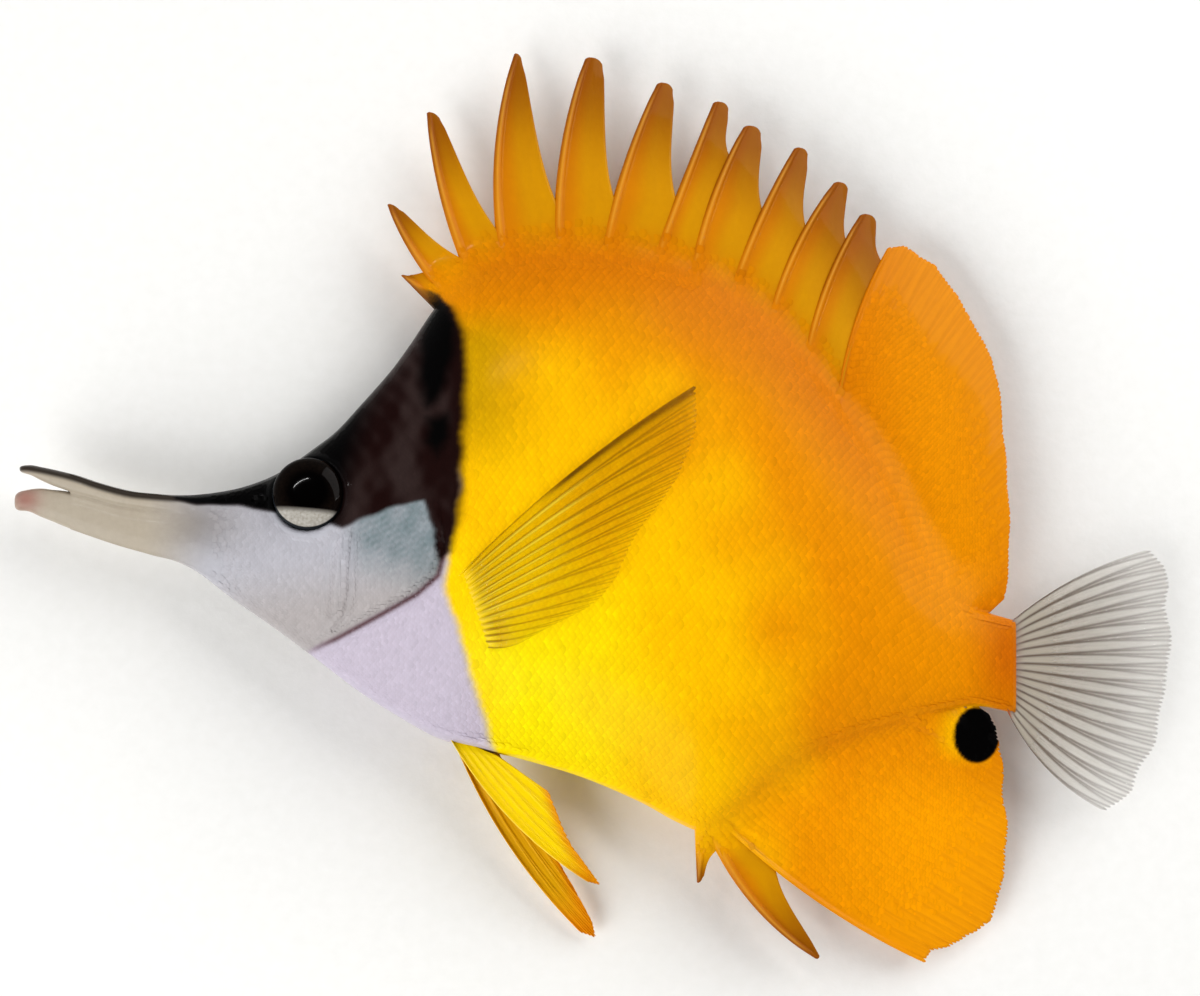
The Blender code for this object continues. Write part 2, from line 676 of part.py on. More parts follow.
def sinking(droop):
    """Heights of a fin that stands on the body's edge and sinks towards the floor away from it."""

    def height(place, distance, half):
        return max(half, MIDDLE_Z - droop * distance**2)

    return height


def make_median_fin(fin):
    web = Web()
    spiny_web(web, fin)
    paint(web.solid(fin.nodes[0]), ORANGE)

    x, tip, bow, _ = fin.last_spine
    base = [fin_root(fin.edge, root_x, fin.side) for root_x in between(fin.ray_roots, 2 * fin.rays)]
    roots = [fin_root(fin.edge, x, fin.side), *spread(base, fin.rays)]
    tips = [Vector(tip), *spread(fin.margin, fin.rays)]
    bows = between((bow, 0.0), fin.rays + 1)
    web = Web()
    rayed_web(web, roots, tips, bows, sinking(fin.droop), FIN_ROOT_HALF, first_crest=fin.last_spine_half)
    paint(web.solid(fin.nodes[1]), ORANGE)


def make_tail_fin():
    roots, tips = spread(TAIL_ROOT, TAIL_RAYS), spread(TAIL_MARGIN, TAIL_RAYS)
    bows = between(TAIL_BOWS, TAIL_RAYS)
    web = Web()
    rayed_web(web, roots, tips, bows, sinking(TAIL_DROOP), TAIL_ROOT_HALF, first_crest=TAIL_LEAD_HALF)
    paint(web.solid("caudal_fin"), CLEAR_WEB, WEB_ROUGHNESS, TAIL_ALPHA)


def side_fin_bed():
    """Outline of the bed that the right side fin lies in: the fin's own outline, grown and rounded."""
    root, tip = Vector(SIDE_ROOT[0]), Vector(SIDE_MARGIN[0])
    corners = [bowed(root, tip, SIDE_BOWS[0], share) for share in (0.0, 0.25, 0.5, 0.75)]
    corners += [Vector(p) for p in (*SIDE_MARGIN, SIDE_ROOT[1])]
    turns = [2 * math.pi * k / BED_CORNER_SIDES for k in range(BED_CORNER_SIDES)]
    grown = [p + Vector((math.cos(t), math.sin(t))) * BED_MARGIN for p in corners for t in turns]
    return [grown[i] for i in geometry.convex_hull_2d(grown)]


def make_side_fins():
    """The left fin arches over the upper flank. The right one is pressed flat between flank and floor."""
    roots, tips = spread(SIDE_ROOT, SIDE_RAYS), spread(SIDE_MARGIN, SIDE_RAYS)
    bows = between(SIDE_BOWS, SIDE_RAYS)
    length = (tips[0] - roots[0]).length

    def over_flank(place, distance, half):
        arch = SIDE_ARCH * math.sin(math.pi * SIDE_ARCH_RISE * min(1.0, distance / length))
        return MIDDLE_Z + half_thickness(place.x, place.y) + GAP + half + arch

    def under_flank(place, distance, half):
        return max(SIDE_FLOOR_Z, half)

    for name, height in (("pectoral_fin_left", over_flank), ("pectoral_fin_right", under_flank)):
        web = Web()
        rayed_web(web, roots, tips, bows, height, SIDE_ROOT_HALF, ridge=SIDE_RIDGE)
        paint(web.solid(name), LEMON, WEB_ROUGHNESS, SIDE_FIN_ALPHA)


def make_breast_fin(name, tips, side, fall):
    """A breast fin on side 1 or -1 of the belly's edge, whose tips sink by fall towards the floor."""
    roots = [fin_root(BELLY, x, -1) for x in between(BREAST_ROOTS, len(tips))]
    longest = max((Vector(t) - roots[0]).length for t in tips)

    def height(place, distance, half):
        return MIDDLE_Z + side * BREAST_Z - fall * (distance / longest) ** BREAST_FALL_POWER

    bows = [BREAST_BOW * share for share in BREAST_BOW_SHARES]
    tips = [Vector(t) for t in tips]
    web = Web()
    rayed_web(web, roots, tips, bows, height, BREAST_ROOT_HALF, first_crest=BREAST_SPINE_HALF)
    paint(web.solid(name), LEMON)


def gather_under_one():
    """Parents every node to one empty at the origin, so that the fish moves as a whole."""
    nodes = list(bpy.context.scene.objects)
    fish = add_object("longnose_butterflyfish", None)
    for node in nodes:
        node.parent = fish


def make_fish():
    clear_scene()
    make_head()
    make_trunk()
    make_tail_stem()
    make_jaw("upper_jaw", UPPER_JAW)
    make_jaw("lower_jaw", LOWER_JAW)
    make_eye("eye_left", 1)
    make_eye("eye_right", -1)
    make_median_fin(MedianFin(
        nodes=("dorsal_fin_spines", "dorsal_fin_rays"), edge=BACK, side=1,
        spines=BACK_SPINES, last_spine=BACK_LAST_SPINE, last_spine_half=BACK_LAST_SPINE_HALF,
        parting=(0.8, (0.8, 0.0)), ray_roots=BACK_RAY_ROOTS, margin=BACK_MARGIN, rays=BACK_RAYS,
        droop=BACK_DROOP,
    ))
    make_median_fin(MedianFin(
        nodes=("anal_fin_spines", "anal_fin_rays"), edge=BELLY, side=-1,
        spines=BELLY_SPINES, last_spine=BELLY_LAST_SPINE, last_spine_half=BELLY_LAST_SPINE_HALF,
        parting=(0.8, (0.4, 0.8)), ray_roots=BELLY_RAY_ROOTS, margin=BELLY_MARGIN, rays=BELLY_RAYS,
        droop=BELLY_DROOP,
    ))
    make_tail_fin()
    make_side_fins()
    make_breast_fin("pelvic_fin_left", LEFT_BREAST_TIPS, 1, LEFT_BREAST_FALL)
    make_breast_fin("pelvic_fin_right", RIGHT_BREAST_TIPS, -1, RIGHT_BREAST_FALL)
    gather_under_one()


make_fish()
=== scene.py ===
"""The looks of a life-size longnose butterflyfish that lies on its right side.

Sizes are millimetres and become metres where a mesh is made. +Z is up, out of the left flank, the snout
points to -X and the back to +Y. The fish's middle plane lies level at MIDDLE_Z. Sides are 1 for the left,
which faces up, and -1 for the right, which rests on the floor.
"""

import math

import bmesh
import bpy
import numpy as np
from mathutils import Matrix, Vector
from mathutils.bvhtree import BVHTree


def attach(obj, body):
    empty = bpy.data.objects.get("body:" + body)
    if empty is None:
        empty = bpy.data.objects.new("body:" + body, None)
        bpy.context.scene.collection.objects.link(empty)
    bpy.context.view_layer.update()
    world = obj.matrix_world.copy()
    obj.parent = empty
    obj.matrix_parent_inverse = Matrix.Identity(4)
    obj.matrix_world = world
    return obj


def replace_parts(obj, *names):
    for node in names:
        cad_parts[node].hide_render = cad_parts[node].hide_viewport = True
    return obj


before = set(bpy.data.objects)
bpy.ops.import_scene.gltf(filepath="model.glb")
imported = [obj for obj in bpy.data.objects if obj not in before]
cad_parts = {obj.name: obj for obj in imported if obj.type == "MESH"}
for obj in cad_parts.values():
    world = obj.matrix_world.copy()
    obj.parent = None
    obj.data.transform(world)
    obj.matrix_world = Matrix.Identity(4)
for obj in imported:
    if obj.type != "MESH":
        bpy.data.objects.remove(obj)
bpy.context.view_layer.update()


# The camera and the light
# The camera hangs over the fish and looks straight down. Broad soft lights stand low at two sides, so
# that skin seen from above doesn't mirror them, and thin tubes draw the bright lines of wet skin.
MM = 0.001
MIDDLE_Z = 8.0
CAMERA_RISE = 350.0  # above the fish's middle plane
VIEW_CENTRE = (0.35, 1.475)
VIEW_WIDTH = 141.6  # seen across at the middle plane
SENSOR = 36.0

lens = bpy.data.cameras.new("camera")
lens.sensor_width = SENSOR
lens.lens = SENSOR * CAMERA_RISE / VIEW_WIDTH
camera = bpy.data.objects.new("camera", lens)
camera.location = Vector((*VIEW_CENTRE, MIDDLE_Z + CAMERA_RISE)) * MM
bpy.context.scene.collection.objects.link(camera)
bpy.context.scene.camera = camera
bpy.context.scene.view_settings.view_transform = "Standard"
bpy.context.scene.view_settings.look = "Medium High Contrast"


def add_light(name, place, size, power):
    """A rectangular light at a place in millimetres, turned to the fish."""
    light = bpy.data.lights.new(name, "AREA")
    light.shape = "RECTANGLE"
    light.size, light.size_y = size[0] * MM, size[1] * MM
    light.energy = power
    lamp = bpy.data.objects.new(name, light)
    lamp.location = Vector(place) * MM
    lamp.rotation_mode = "QUATERNION"
    lamp.rotation_quaternion = (-Vector(place)).to_track_quat("-Z", "Y")
    bpy.context.scene.collection.objects.link(lamp)


add_light("key", (430, 450, 400), (680, 680), 4.0)
add_light("fill", (-380, -300, 400), (560, 560), 3.1)
add_light("tube_side", (260, 60, 170), (5, 240), 0.08)
add_light("tube_head", (-90, 170, 330), (50, 3), 0.05)

# The room is dark overhead, where flat skin would mirror it, and light around
world = bpy.data.worlds.new("room")
world.use_nodes = True
sky = world.node_tree.nodes
ways = sky.new("ShaderNodeTexCoord")
height = sky.new("ShaderNodeSeparateXYZ")
shade = sky.new("ShaderNodeMapRange")
for socket, value in (("From Min", 0.25), ("From Max", 0.95), ("To Min", 0.5), ("To Max", 0.04)):
    shade.inputs[socket].default_value = value
for first, second in (
    (ways.outputs["Generated"], height.inputs[0]), (height.outputs["Z"], shade.inputs["Value"]),
    (shade.outputs[0], sky["Background"].inputs["Strength"]),
):
    world.node_tree.links.new(first, second)
sky["Background"].inputs["Color"].default_value = (0.9, 0.92, 0.96, 1.0)
bpy.context.scene.world = world


# The floor
# A plain pale table top, far wider than the fish, of matte painted board.
FLOOR_HALF = 1500.0


def linear(colour):
    """A colour given as red, green and blue out of 255, as the linear RGBA that shaders take."""
    parts = [c / 255 for c in colour]
    return (*[p / 12.92 if p <= 0.04045 else ((p + 0.055) / 1.055) ** 2.4 for p in parts], 1.0)


class Socket:
    """A shader value. Python's arithmetic on it adds the Math node."""

    def __init__(self, finish, socket):
        self.finish, self.socket = finish, socket

    def math(self, operation, first, second):
        return self.finish.node("Math", {0: first, 1: second}, operation=operation)

    def __add__(self, other):
        return self.math("ADD", self, other)

    def __sub__(self, other):
        return self.math("SUBTRACT", self, other)

    def __mul__(self, other):
        return self.math("MULTIPLY", self, other)

    __radd__, __rmul__ = __add__, __mul__


class Finish:
    """A material being made. Keywords with a number or colour set the shader's own sockets."""

    def __init__(self, name, **settings):
        self.material = bpy.data.materials.new(name)
        self.material.use_nodes = True
        self.tree = self.material.node_tree
        self.shader = self.tree.nodes["Principled BSDF"]
        for socket, value in settings.items():
            self.shader.inputs[socket.replace("_", " ")].default_value = value

    def node(self, kind, sockets, out=0, **settings):
        """Adds a node: its settings first, then its sockets' values or links."""
        made = self.tree.nodes.new("ShaderNode" + kind)
        for name, value in settings.items():
            setattr(made, name, value)
        for name, value in sockets.items():
            if isinstance(value, Socket):
                self.tree.links.new(value.socket, made.inputs[name])
            else:
                made.inputs[name].default_value = value
        return Socket(self, made.outputs[out])

    def read(self, name, out="Fac"):
        """A value that the mesh carries at its points."""
        return self.node("Attribute", {}, out=out, attribute_name=name)

    def noise(self, size, detail=3.0):
        """Cloudy noise from 0 to 1, with spots about size millimetres across."""
        at = self.node("TexCoord", {}, out="Object")
        place = self.node("Mapping", {"Vector": at, "Scale": [1 / MM] * 3})
        sockets = {"Vector": place, "Scale": 1 / size, "Detail": detail, "Roughness": 0.55}
        return self.node("TexNoise", sockets)

    def streaks(self, across, along, roughness):
        """Noise drawn out along a fin's rays: how far it moves on from ray to ray, and in a millimetre."""
        at = {"X": self.read("ray_number") * across, "Y": self.read("distance") * along}
        path = self.node("CombineXYZ", at)
        sockets = {"Vector": path, "Scale": 1.0, "Detail": 4.0, "Roughness": roughness}
        return self.node("TexNoise", sockets)

    def fade(self, value, low, high):
        """0 where value is under low, 1 over high, and a smooth rise between."""
        sockets = {"Value": value, "From Min": low, "From Max": high}
        return self.node("MapRange", sockets, interpolation_type="SMOOTHSTEP")

    def mix(self, first, second, amount, blend="MIX"):
        sockets = {0: amount, 6: first, 7: second}
        return self.node("Mix", sockets, out=2, data_type="RGBA", blend_type=blend)

    def bump(self, height, depth):
        """Turns height into a normal. depth is the rise in millimetres from height 0 to 1."""
        return self.node("Bump", {"Height": height, "Distance": depth * MM, "Strength": 1.0})

    def feed(self, **sockets):
        """Links values into the shader."""
        for name, value in sockets.items():
            self.tree.links.new(value.socket, self.shader.inputs[name.replace("_", " ")])


board = Finish("painted_board", Roughness=0.6)
grain = board.noise(1.6, detail=4.0)
board.feed(
    Base_Color=board.mix(linear((236, 235, 231)), linear((243, 242, 239)), grain),
    Normal=board.bump(grain, 0.04),
)
top = bpy.data.meshes.new("floor")
corners = [(x * FLOOR_HALF, y * FLOOR_HALF, 0) for x, y in ((-1, -1), (1, -1), (1, 1), (-1, 1))]
top.from_pydata([Vector(corner) * MM for corner in corners], [], [(0, 1, 2, 3)])
top.materials.append(board.material)
floor = bpy.data.objects.new("floor", top)
bpy.context.scene.collection.objects.link(floor)


# The skin
# One skin covers head, body, tail root and jaws. Its outline and thickness follow the flesh, and on it
# stand the folds of the head: the gill cover, the cheek's edge, the ring round the eye and the lips.
BACK = (
    (-68.7, 5.3), (-67.1, 5.35), (-65.7, 5.15), (-64.0, 4.8), (-61.6, 4.2), (-58.6, 3.2), (-55.1, 2.3),
    (-52.5, 2.0), (-49.4, 1.8), (-46.8, 1.9), (-43.3, 2.4), (-40.7, 3.1), (-38.0, 4.2), (-35.6, 5.7),
    (-33.4, 7.3), (-30.8, 9.3), (-28.0, 12.3), (-24.3, 16.5), (-22.1, 19.5), (-19.7, 23.1), (-18.4, 24.8),
    (-17.0, 26.3), (-15.2, 27.5), (-12.6, 28.7), (-8.0, 29.6), (-2.0, 29.9), (5.1, 29.2), (12.2, 27.1),
    (16.3, 24.8), (20.4, 21.7), (25.1, 16.6), (29.9, 10.2), (34.0, 4.1), (37.5, -3.0), (41.1, -8.6),
    (44.6, -11.4), (49.3, -13.0),
)
BELLY = (
    (-68.7, -0.05), (-67.1, -0.1), (-65.7, -0.7), (-64.2, -1.3), (-62.5, -2.0), (-60.0, -2.9),
    (-56.4, -4.1), (-52.5, -5.2), (-49.4, -6.1), (-46.8, -7.5), (-43.3, -10.2), (-38.0, -13.9),
    (-33.4, -17.3), (-28.0, -21.4), (-22.1, -25.1), (-18.4, -27.0), (-13.8, -28.2), (-9.1, -29.3),
    (-2.0, -31.4), (5.1, -34.4), (9.5, -36.8), (12.6, -37.8), (15.8, -35.9), (20.4, -31.8),
    (25.1, -28.7), (29.9, -26.7), (34.0, -25.4), (41.1, -23.6), (45.0, -23.1), (49.3, -23.9),
)
# The mouth's line, and how far the jaws gape at it
MOUTH = (
    (-68.7, 3.3), (-67.1, 3.3), (-65.7, 3.1), (-64.2, 2.7), (-62.5, 2.3), (-61.6, 1.98), (-60.0, 1.6),
    (-58.6, 1.2), (-56.4, 0.6), (-52.5, 0.0), (-49.4, -0.4), (-44.0, -1.2),
)
GAPE = ((-68.7, 2.4), (-67.1, 1.7), (-65.7, 1.0), (-64.0, 0.45), (-62.6, 0.12), (-62.0, 0.06), (-44.0, 0.06))
HALF_WIDTH = (
    (-68.7, 1.3), (-65.7, 1.4), (-62.5, 1.5), (-60.0, 1.6), (-56.4, 1.75), (-52.5, 1.9), (-49.4, 1.95),
    (-43.3, 2.9), (-38.0, 4.3), (-33.4, 5.3), (-28.0, 6.4), (-22.0, 7.5), (-17.0, 8.2), (-9.0, 8.7),
    (0.0, 8.7), (8.0, 8.3), (16.0, 7.4), (25.0, 6.1), (34.0, 4.6), (41.0, 3.2), (45.0, 2.4), (49.3, 1.3),
)
# Power that rounds the flank from its widest level to its edges: low is boxy, high is sharp
ROUNDING = ((-49.4, 0.50), (-33.4, 0.38), (-25.0, 0.45), (-15.0, 0.58), (30.0, 0.62), (49.3, 0.50))
BACK_EDGE = ((-49.4, 0.5), (-25.0, 0.4), (-20.0, 0.6), (-16.0, 1.0), (20.0, 1.1), (40.0, 0.9), (49.3, 0.9))
BELLY_EDGE = (
    (-49.4, 0.5), (-25.0, 0.5), (-18.0, 1.4), (-10.0, 1.4), (-5.0, 0.6), (8.0, 0.6), (12.0, 1.1),
    (40.0, 0.9), (49.3, 0.9),
)
WIDEST_LEVEL = 0.42
UPPER_JAW_TIP = -68.1
LOWER_JAW_TIP = -68.7
BLUNT_TIP = 0.9  # the length over which the jaws round off in front
GILL_LINE = (
    (-19.4, 31.0), (-18.3, 24.8), (-17.3, 20.1), (-17.2, 15.4), (-17.8, 9.5), (-18.4, 4.2), (-18.2, 0.1),
    (-17.7, -4.1), (-18.5, -7.3), (-20.9, -9.4), (-24.4, -11.4), (-27.7, -13.2), (-30.3, -14.6),
    (-32.9, -15.8), (-35.3, -17.4), (-37.0, -20.0),
)
GILL_LIFT = 0.45
CHEEK_GROOVE = ((-28.3, -2.4), (-28.7, -5.8), (-28.8, -9.4), (-29.3, -12.0), (-30.6, -13.9))
CHEEK_RIDGE = ((-30.2, -3.2), (-30.9, -5.8), (-31.3, -9.4), (-31.6, -12.2))
EYE_CENTRE = (-33.6, 1.85)
EYE_RADIUS = 4.3
NOSTRILS = ((-39.3, 1.5), (-40.3, 1.1))
NOSTRIL_RADIUS = 0.33
COAT = 0.09  # how far the scales stand off the skin
ROWS = 80  # down each flank above the mouth's line, and again below it
GAPE_END = -62.4  # the jaws stand open ahead of here
WELD = 0.004  # points closer than this become one
RIGHT_FLOOR = 0.12  # the skin's height where the flattened right flank rests
BED_ROOF = 1.05  # its height over the right side fin


def through(points):
    """A smooth curve through (X, value) points, as a function of an array."""
    xs, ys = np.array(points, float).T
    count = len(xs)
    before = np.maximum(np.arange(count) - 1, 0)
    after = np.minimum(np.arange(count) + 1, count - 1)
    slopes = (ys[after] - ys[before]) / (xs[after] - xs[before])

    def value(x):
        x = np.clip(x, xs[0], xs[-1])
        i = np.clip(np.searchsorted(xs, x) - 1, 0, count - 2)
        span = xs[i + 1] - xs[i]
        t = (x - xs[i]) / span
        lift = slopes[i] * span * (t - 2 * t**2 + t**3)
        fall = slopes[i + 1] * span * (t**3 - t**2)
        return ys[i] + (ys[i + 1] - ys[i]) * (3 * t**2 - 2 * t**3) + lift + fall

    return value


back, belly, mouth, gape = through(BACK), through(BELLY), through(MOUTH), through(GAPE)
half_width, rounding = through(HALF_WIDTH), through(ROUNDING)
back_edge, belly_edge = through(BACK_EDGE), through(BELLY_EDGE)


def ease(low, high, value):
    """0 below low, 1 above high, and a smooth rise between. low may be the higher number."""
    t = np.clip((value - low) / (high - low), 0.0, 1.0)
    return t * t * (3 - 2 * t)


def off_line(line, x, y):
    """How far points lie from a line through corners, positive on its left."""
    ends = np.array(line, float)
    nearest = np.full(np.shape(x), 1e9)
    side = np.ones(np.shape(x))
    for (ax, ay), (bx, by) in zip(ends, ends[1:]):
        dx, dy = bx - ax, by - ay
        share = np.clip(((x - ax) * dx + (y - ay) * dy) / (dx * dx + dy * dy), 0, 1)
        distance = np.hypot(x - ax - share * dx, y - ay - share * dy)
        closer = distance < nearest
        nearest = np.where(closer, distance, nearest)
        side = np.where(closer, np.sign(dx * (y - ay) - dy * (x - ax)), side)
    return nearest * side


def bell(distance, width):
    """1 at distance 0, falling off smoothly over about width."""
    return np.exp(-((distance / width) ** 2))


def body_half(x, y):
    """Half the plain body's thickness."""
    high, low = back(x), belly(x)
    level = low + WIDEST_LEVEL * (high - low)
    above = y > level
    edge = np.where(above, back_edge(x), belly_edge(x))
    reach = np.where(above, high - level, level - low)
    outward = np.clip(np.abs(y - level) / reach, 0, 1)
    return edge + (half_width(x) - edge) * (1 - outward**2) ** rounding(x)


def lobe_half(x, y, high, low):
    """Half the thickness of one jaw, round from its upper to its lower edge."""
    off = np.clip(np.abs(y - (high + low) / 2) / (high - low) * 2, 0, 1)
    return half_width(x) * (1 - off**2.5) ** 0.4


def jaws_half(x, y):
    """Half the snout's thickness: two jaws, with their lips shut behind the gape."""
    half_gape = gape(x) / 2
    upper = lobe_half(x, y, back(x), mouth(x) + half_gape)
    lower = lobe_half(x, y, mouth(x) - half_gape, belly(x))
    seal = (half_width(x) - 0.42) * ease(GAPE_END, GAPE_END + 0.5, x)
    return (upper**8 + lower**8 + seal**8) ** (1 / 8)


def folds(x, y):
    """What the head's folds add to the skin's height."""
    gill = off_line(GILL_LINE, x, y)
    cover = GILL_LIFT * ease(-31.0, -19.5, x) * ease(3, -5, y)
    rise = cover * ease(0.15, -0.2, gill)
    rise -= 0.22 * bell(gill - 0.3, 0.28) * ease(-36, -31, x) * ease(-1, -6, y)
    rise -= 0.30 * bell(off_line(CHEEK_GROOVE, x, y), 0.3)
    rise += 0.14 * bell(off_line(CHEEK_RIDGE, x, y), 0.55)
    out = np.hypot(x - EYE_CENTRE[0], y - EYE_CENTRE[1])
    rise += 0.22 * bell(out - EYE_RADIUS - 0.35, 0.45)
    rise -= 0.9 * ease(EYE_RADIUS, EYE_RADIUS - 0.35, out)
    for nx, ny in NOSTRILS:
        hole = np.hypot(x - nx, y - ny)
        rise += 0.09 * bell(hole - NOSTRIL_RADIUS - 0.12, 0.14) - 0.5 * ease(NOSTRIL_RADIUS, 0.1, hole)
    lip = y - mouth(x)
    lips = ease(-46, -51, x)
    rise += lips * 0.07 * (bell(lip - 0.35, 0.22) + bell(lip + 0.4, 0.25))
    # Soft swells of muscle and bone under the skin of the cheek
    swells = 0.05 * np.sin(x * 0.9 + y * 0.45) * np.sin(y * 0.7 - x * 0.25)
    return rise + swells * ease(-17, -24, x) * ease(-52, -44, x)


def flank(x, y):
    """How far the skin stands off the middle plane, on either side."""
    high, low = back(x), belly(x)
    snout = ease(-46.5, -52.0, x)
    half = jaws_half(x, y) * snout + body_half(x, y) * (1 - snout)
    half = half + folds(x, y) * ease(0.0, 1.2, half) - COAT * ease(-50, -40, x) - 0.03
    edge = np.where(y > (high + low) / 2, back_edge(x), belly_edge(x)) * (1 - snout) + 0.02
    inside = np.clip(np.minimum(high - y, y - low) / edge, 0, 1)
    return np.maximum(half, 0.0) * np.sqrt(1 - (1 - inside) ** 2)


SIDE_ROOT = ((-15.9, -7.4), (-13.2, -15.7))
SIDE_MARGIN = (
    (11.8, 14.8), (11.4, 9.4), (10.4, 5.1), (7.3, 0.9), (4.1, -3.4), (2.6, -7.5), (0.5, -10.2),
    (-2.0, -11.7), (-5.4, -13.4), (-8.2, -14.9),
)
BED_CORNERS = (*SIDE_ROOT, (-8.2, -14.9), (0.5, -10.2), (11.0, 3.6), (11.8, 14.8), (-3.0, 4.5))


def over_bed(x, y):
    """1 over the bed that the right side fin lies in, and 0 outside it."""
    inside = np.full(np.shape(x), 1e9)
    for (ax, ay), (bx, by) in zip(BED_CORNERS, BED_CORNERS[1:] + BED_CORNERS[:1]):
        turn = (bx - ax) * (y - ay) - (by - ay) * (x - ax)
        inside = np.minimum(inside, turn / math.hypot(bx - ax, by - ay))
    return ease(-1.4, -0.5, inside)


def skin_height(x, y, side):
    """The skin's height over the floor."""
    if side > 0:
        return MIDDLE_Z + flank(x, y)
    free = MIDDLE_Z - flank(x, y)
    rest = RIGHT_FLOOR + (BED_ROOF - RIGHT_FLOOR) * over_bed(x, y)
    return np.where(free < rest + 1.0, rest + np.logaddexp(0, (free - rest) * 4) / 4, free)


def add_mesh(name, points, faces, finish, **carried):
    """A smooth mesh from points in millimetres and faces of four corners. Values ride on the points."""
    mesh = bpy.data.meshes.new(name)
    mesh.vertices.add(len(points))
    mesh.vertices.foreach_set("co", (np.asarray(points) * MM).astype(np.float32).ravel())
    mesh.loops.add(faces.size)
    mesh.loops.foreach_set("vertex_index", faces.astype(np.int32).ravel())
    mesh.polygons.add(len(faces))
    mesh.polygons.foreach_set("loop_start", np.arange(0, faces.size, faces.shape[1], dtype=np.int32))
    mesh.polygons.foreach_set("use_smooth", np.ones(len(faces), bool))
    mesh.update(calc_edges=True)
    for key, values in carried.items():
        wide = np.ndim(values) == 2
        layer = mesh.attributes.new(key, "FLOAT_COLOR" if wide else "FLOAT", "POINT")
        layer.data.foreach_set("color" if wide else "value", np.asarray(values, np.float32).ravel())
    mesh.materials.append(finish.material)
    piece = bpy.data.objects.new(name, mesh)
    bpy.context.scene.collection.objects.link(piece)
    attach(piece, "root")
    return piece


def grid_faces(index):
    """The four-cornered faces between a grid's points, from the points' numbers."""
    return np.stack([index[:-1, :-1], index[1:, :-1], index[1:, 1:], index[:-1, 1:]], -1)


def close_up(piece, rim_sides=0):
    """Welds points that fall together, fills open rims of up to rim_sides and turns faces outwards."""
    shape = bmesh.new()
    shape.from_mesh(piece.data)
    bmesh.ops.remove_doubles(shape, verts=shape.verts, dist=WELD * MM)
    if rim_sides:
        bmesh.ops.holes_fill(shape, edges=shape.edges, sides=rim_sides)
    bmesh.ops.recalc_face_normals(shape, faces=shape.faces)
    shape.to_mesh(piece.data)
    shape.free()


# Markings, the same on skin, scales and fins: each is a zone with a soft edge on the fish's side view
LEMON = (255, 236, 0)
YOLK = (254, 199, 0)
AMBER = (232, 150, 0)
BURNT = (196, 100, 0)
OCHRE = (212, 124, 0)
GOLD = (255, 172, 0)
MASK_BLACK = (2, 1, 1)
MASK_BROWN = (34, 14, 12)
MASK_VIOLET = (64, 52, 50)
CHEEK = (180, 175, 174)
CHEEK_COOL = (192, 195, 206)
CHEEK_TEAL = (96, 120, 122)
MASK_OLIVE = (120, 92, 0)
NAPE_OLIVE = (196, 158, 0)
CHEEK_SHADE = (142, 136, 130)
CHEST = (200, 192, 206)
SNOUT = (184, 174, 157)
SNOUT_DARK = (62, 55, 48)
PINK = (168, 128, 116)
GILL_RED = (84, 34, 30)
MASK = (
    (-50.4, 2.6), (-49.6, 1.25), (-47.0, 0.75), (-42.0, 0.65), (-37.9, -0.1), (-33.6, -0.9), (-29.8, -1.9),
    (-26.2, -0.6), (-23.2, 0.6), (-20.0, 1.3), (-18.9, -2.0), (-18.3, -5.8), (-16.9, -4.6), (-15.8, 0.5),
    (-15.5, 10.0), (-15.3, 18.5), (-15.8, 21.2), (-17.0, 23.7), (-18.6, 25.4), (-20.4, 26.0), (-28.0, 31.0),
    (-50.4, 10.0),
)
MASK_PATCHES = (
    ((-20.6, 22.4), (-20.7, 17.0), (-20.4, 13.4), (-19.6, 12.0), (-18.5, 12.9), (-17.4, 15.0), (-16.6, 18.5),
     (-16.5, 22.0), (-18.0, 24.8), (-19.6, 25.2)),
    ((-19.7, 10.6), (-17.2, 11.2), (-17.0, 8.6), (-18.5, 6.4), (-19.7, 8.0)),
)
CHEST_REAR = (
    (-16.0, 40.0), (-16.0, 3.0), (-17.3, -3.0), (-17.7, -9.4), (-15.8, -14.5), (-14.75, -19.1),
    (-13.7, -22.4), (-11.6, -31.0),
)
EYESPOT_CENTRE = (44.8, -26.5)
EYESPOT_HALF = (2.8, 3.4)


def within(outline, x, y, soft):
    """1 inside a closed outline and 0 outside, with an edge soft millimetres wide."""
    closed = (*outline, outline[0])
    nearest = np.abs(off_line(closed, x, y))
    inside = np.zeros(np.shape(x), bool)
    for (ax, ay), (bx, by) in zip(closed, closed[1:]):
        crosses = (ay > y) != (by > y)
        inside ^= crosses & (x < (bx - ax) * (y - ay) / ((by - ay) or 1e-9) + ax)
    return ease(-soft / 2, soft / 2, np.where(inside, nearest, -nearest))


def waves(x, y, size, seed):
    """Cloudy variation from about -1 to 1, from a few crossed waves."""
    turns = np.random.default_rng(seed).uniform(0, 2 * math.pi, (6, 2))
    total = 0
    for heading, start in turns:
        total = total + np.sin((x * math.cos(heading) + y * math.sin(heading)) / size * 4 + start)
    return total / 3


def lay_paint(under, colour, amount):
    """A colour given out of 255, laid by amount over linear colours."""
    return under + (np.array(linear(colour)) - under) * np.asarray(amount)[..., None]


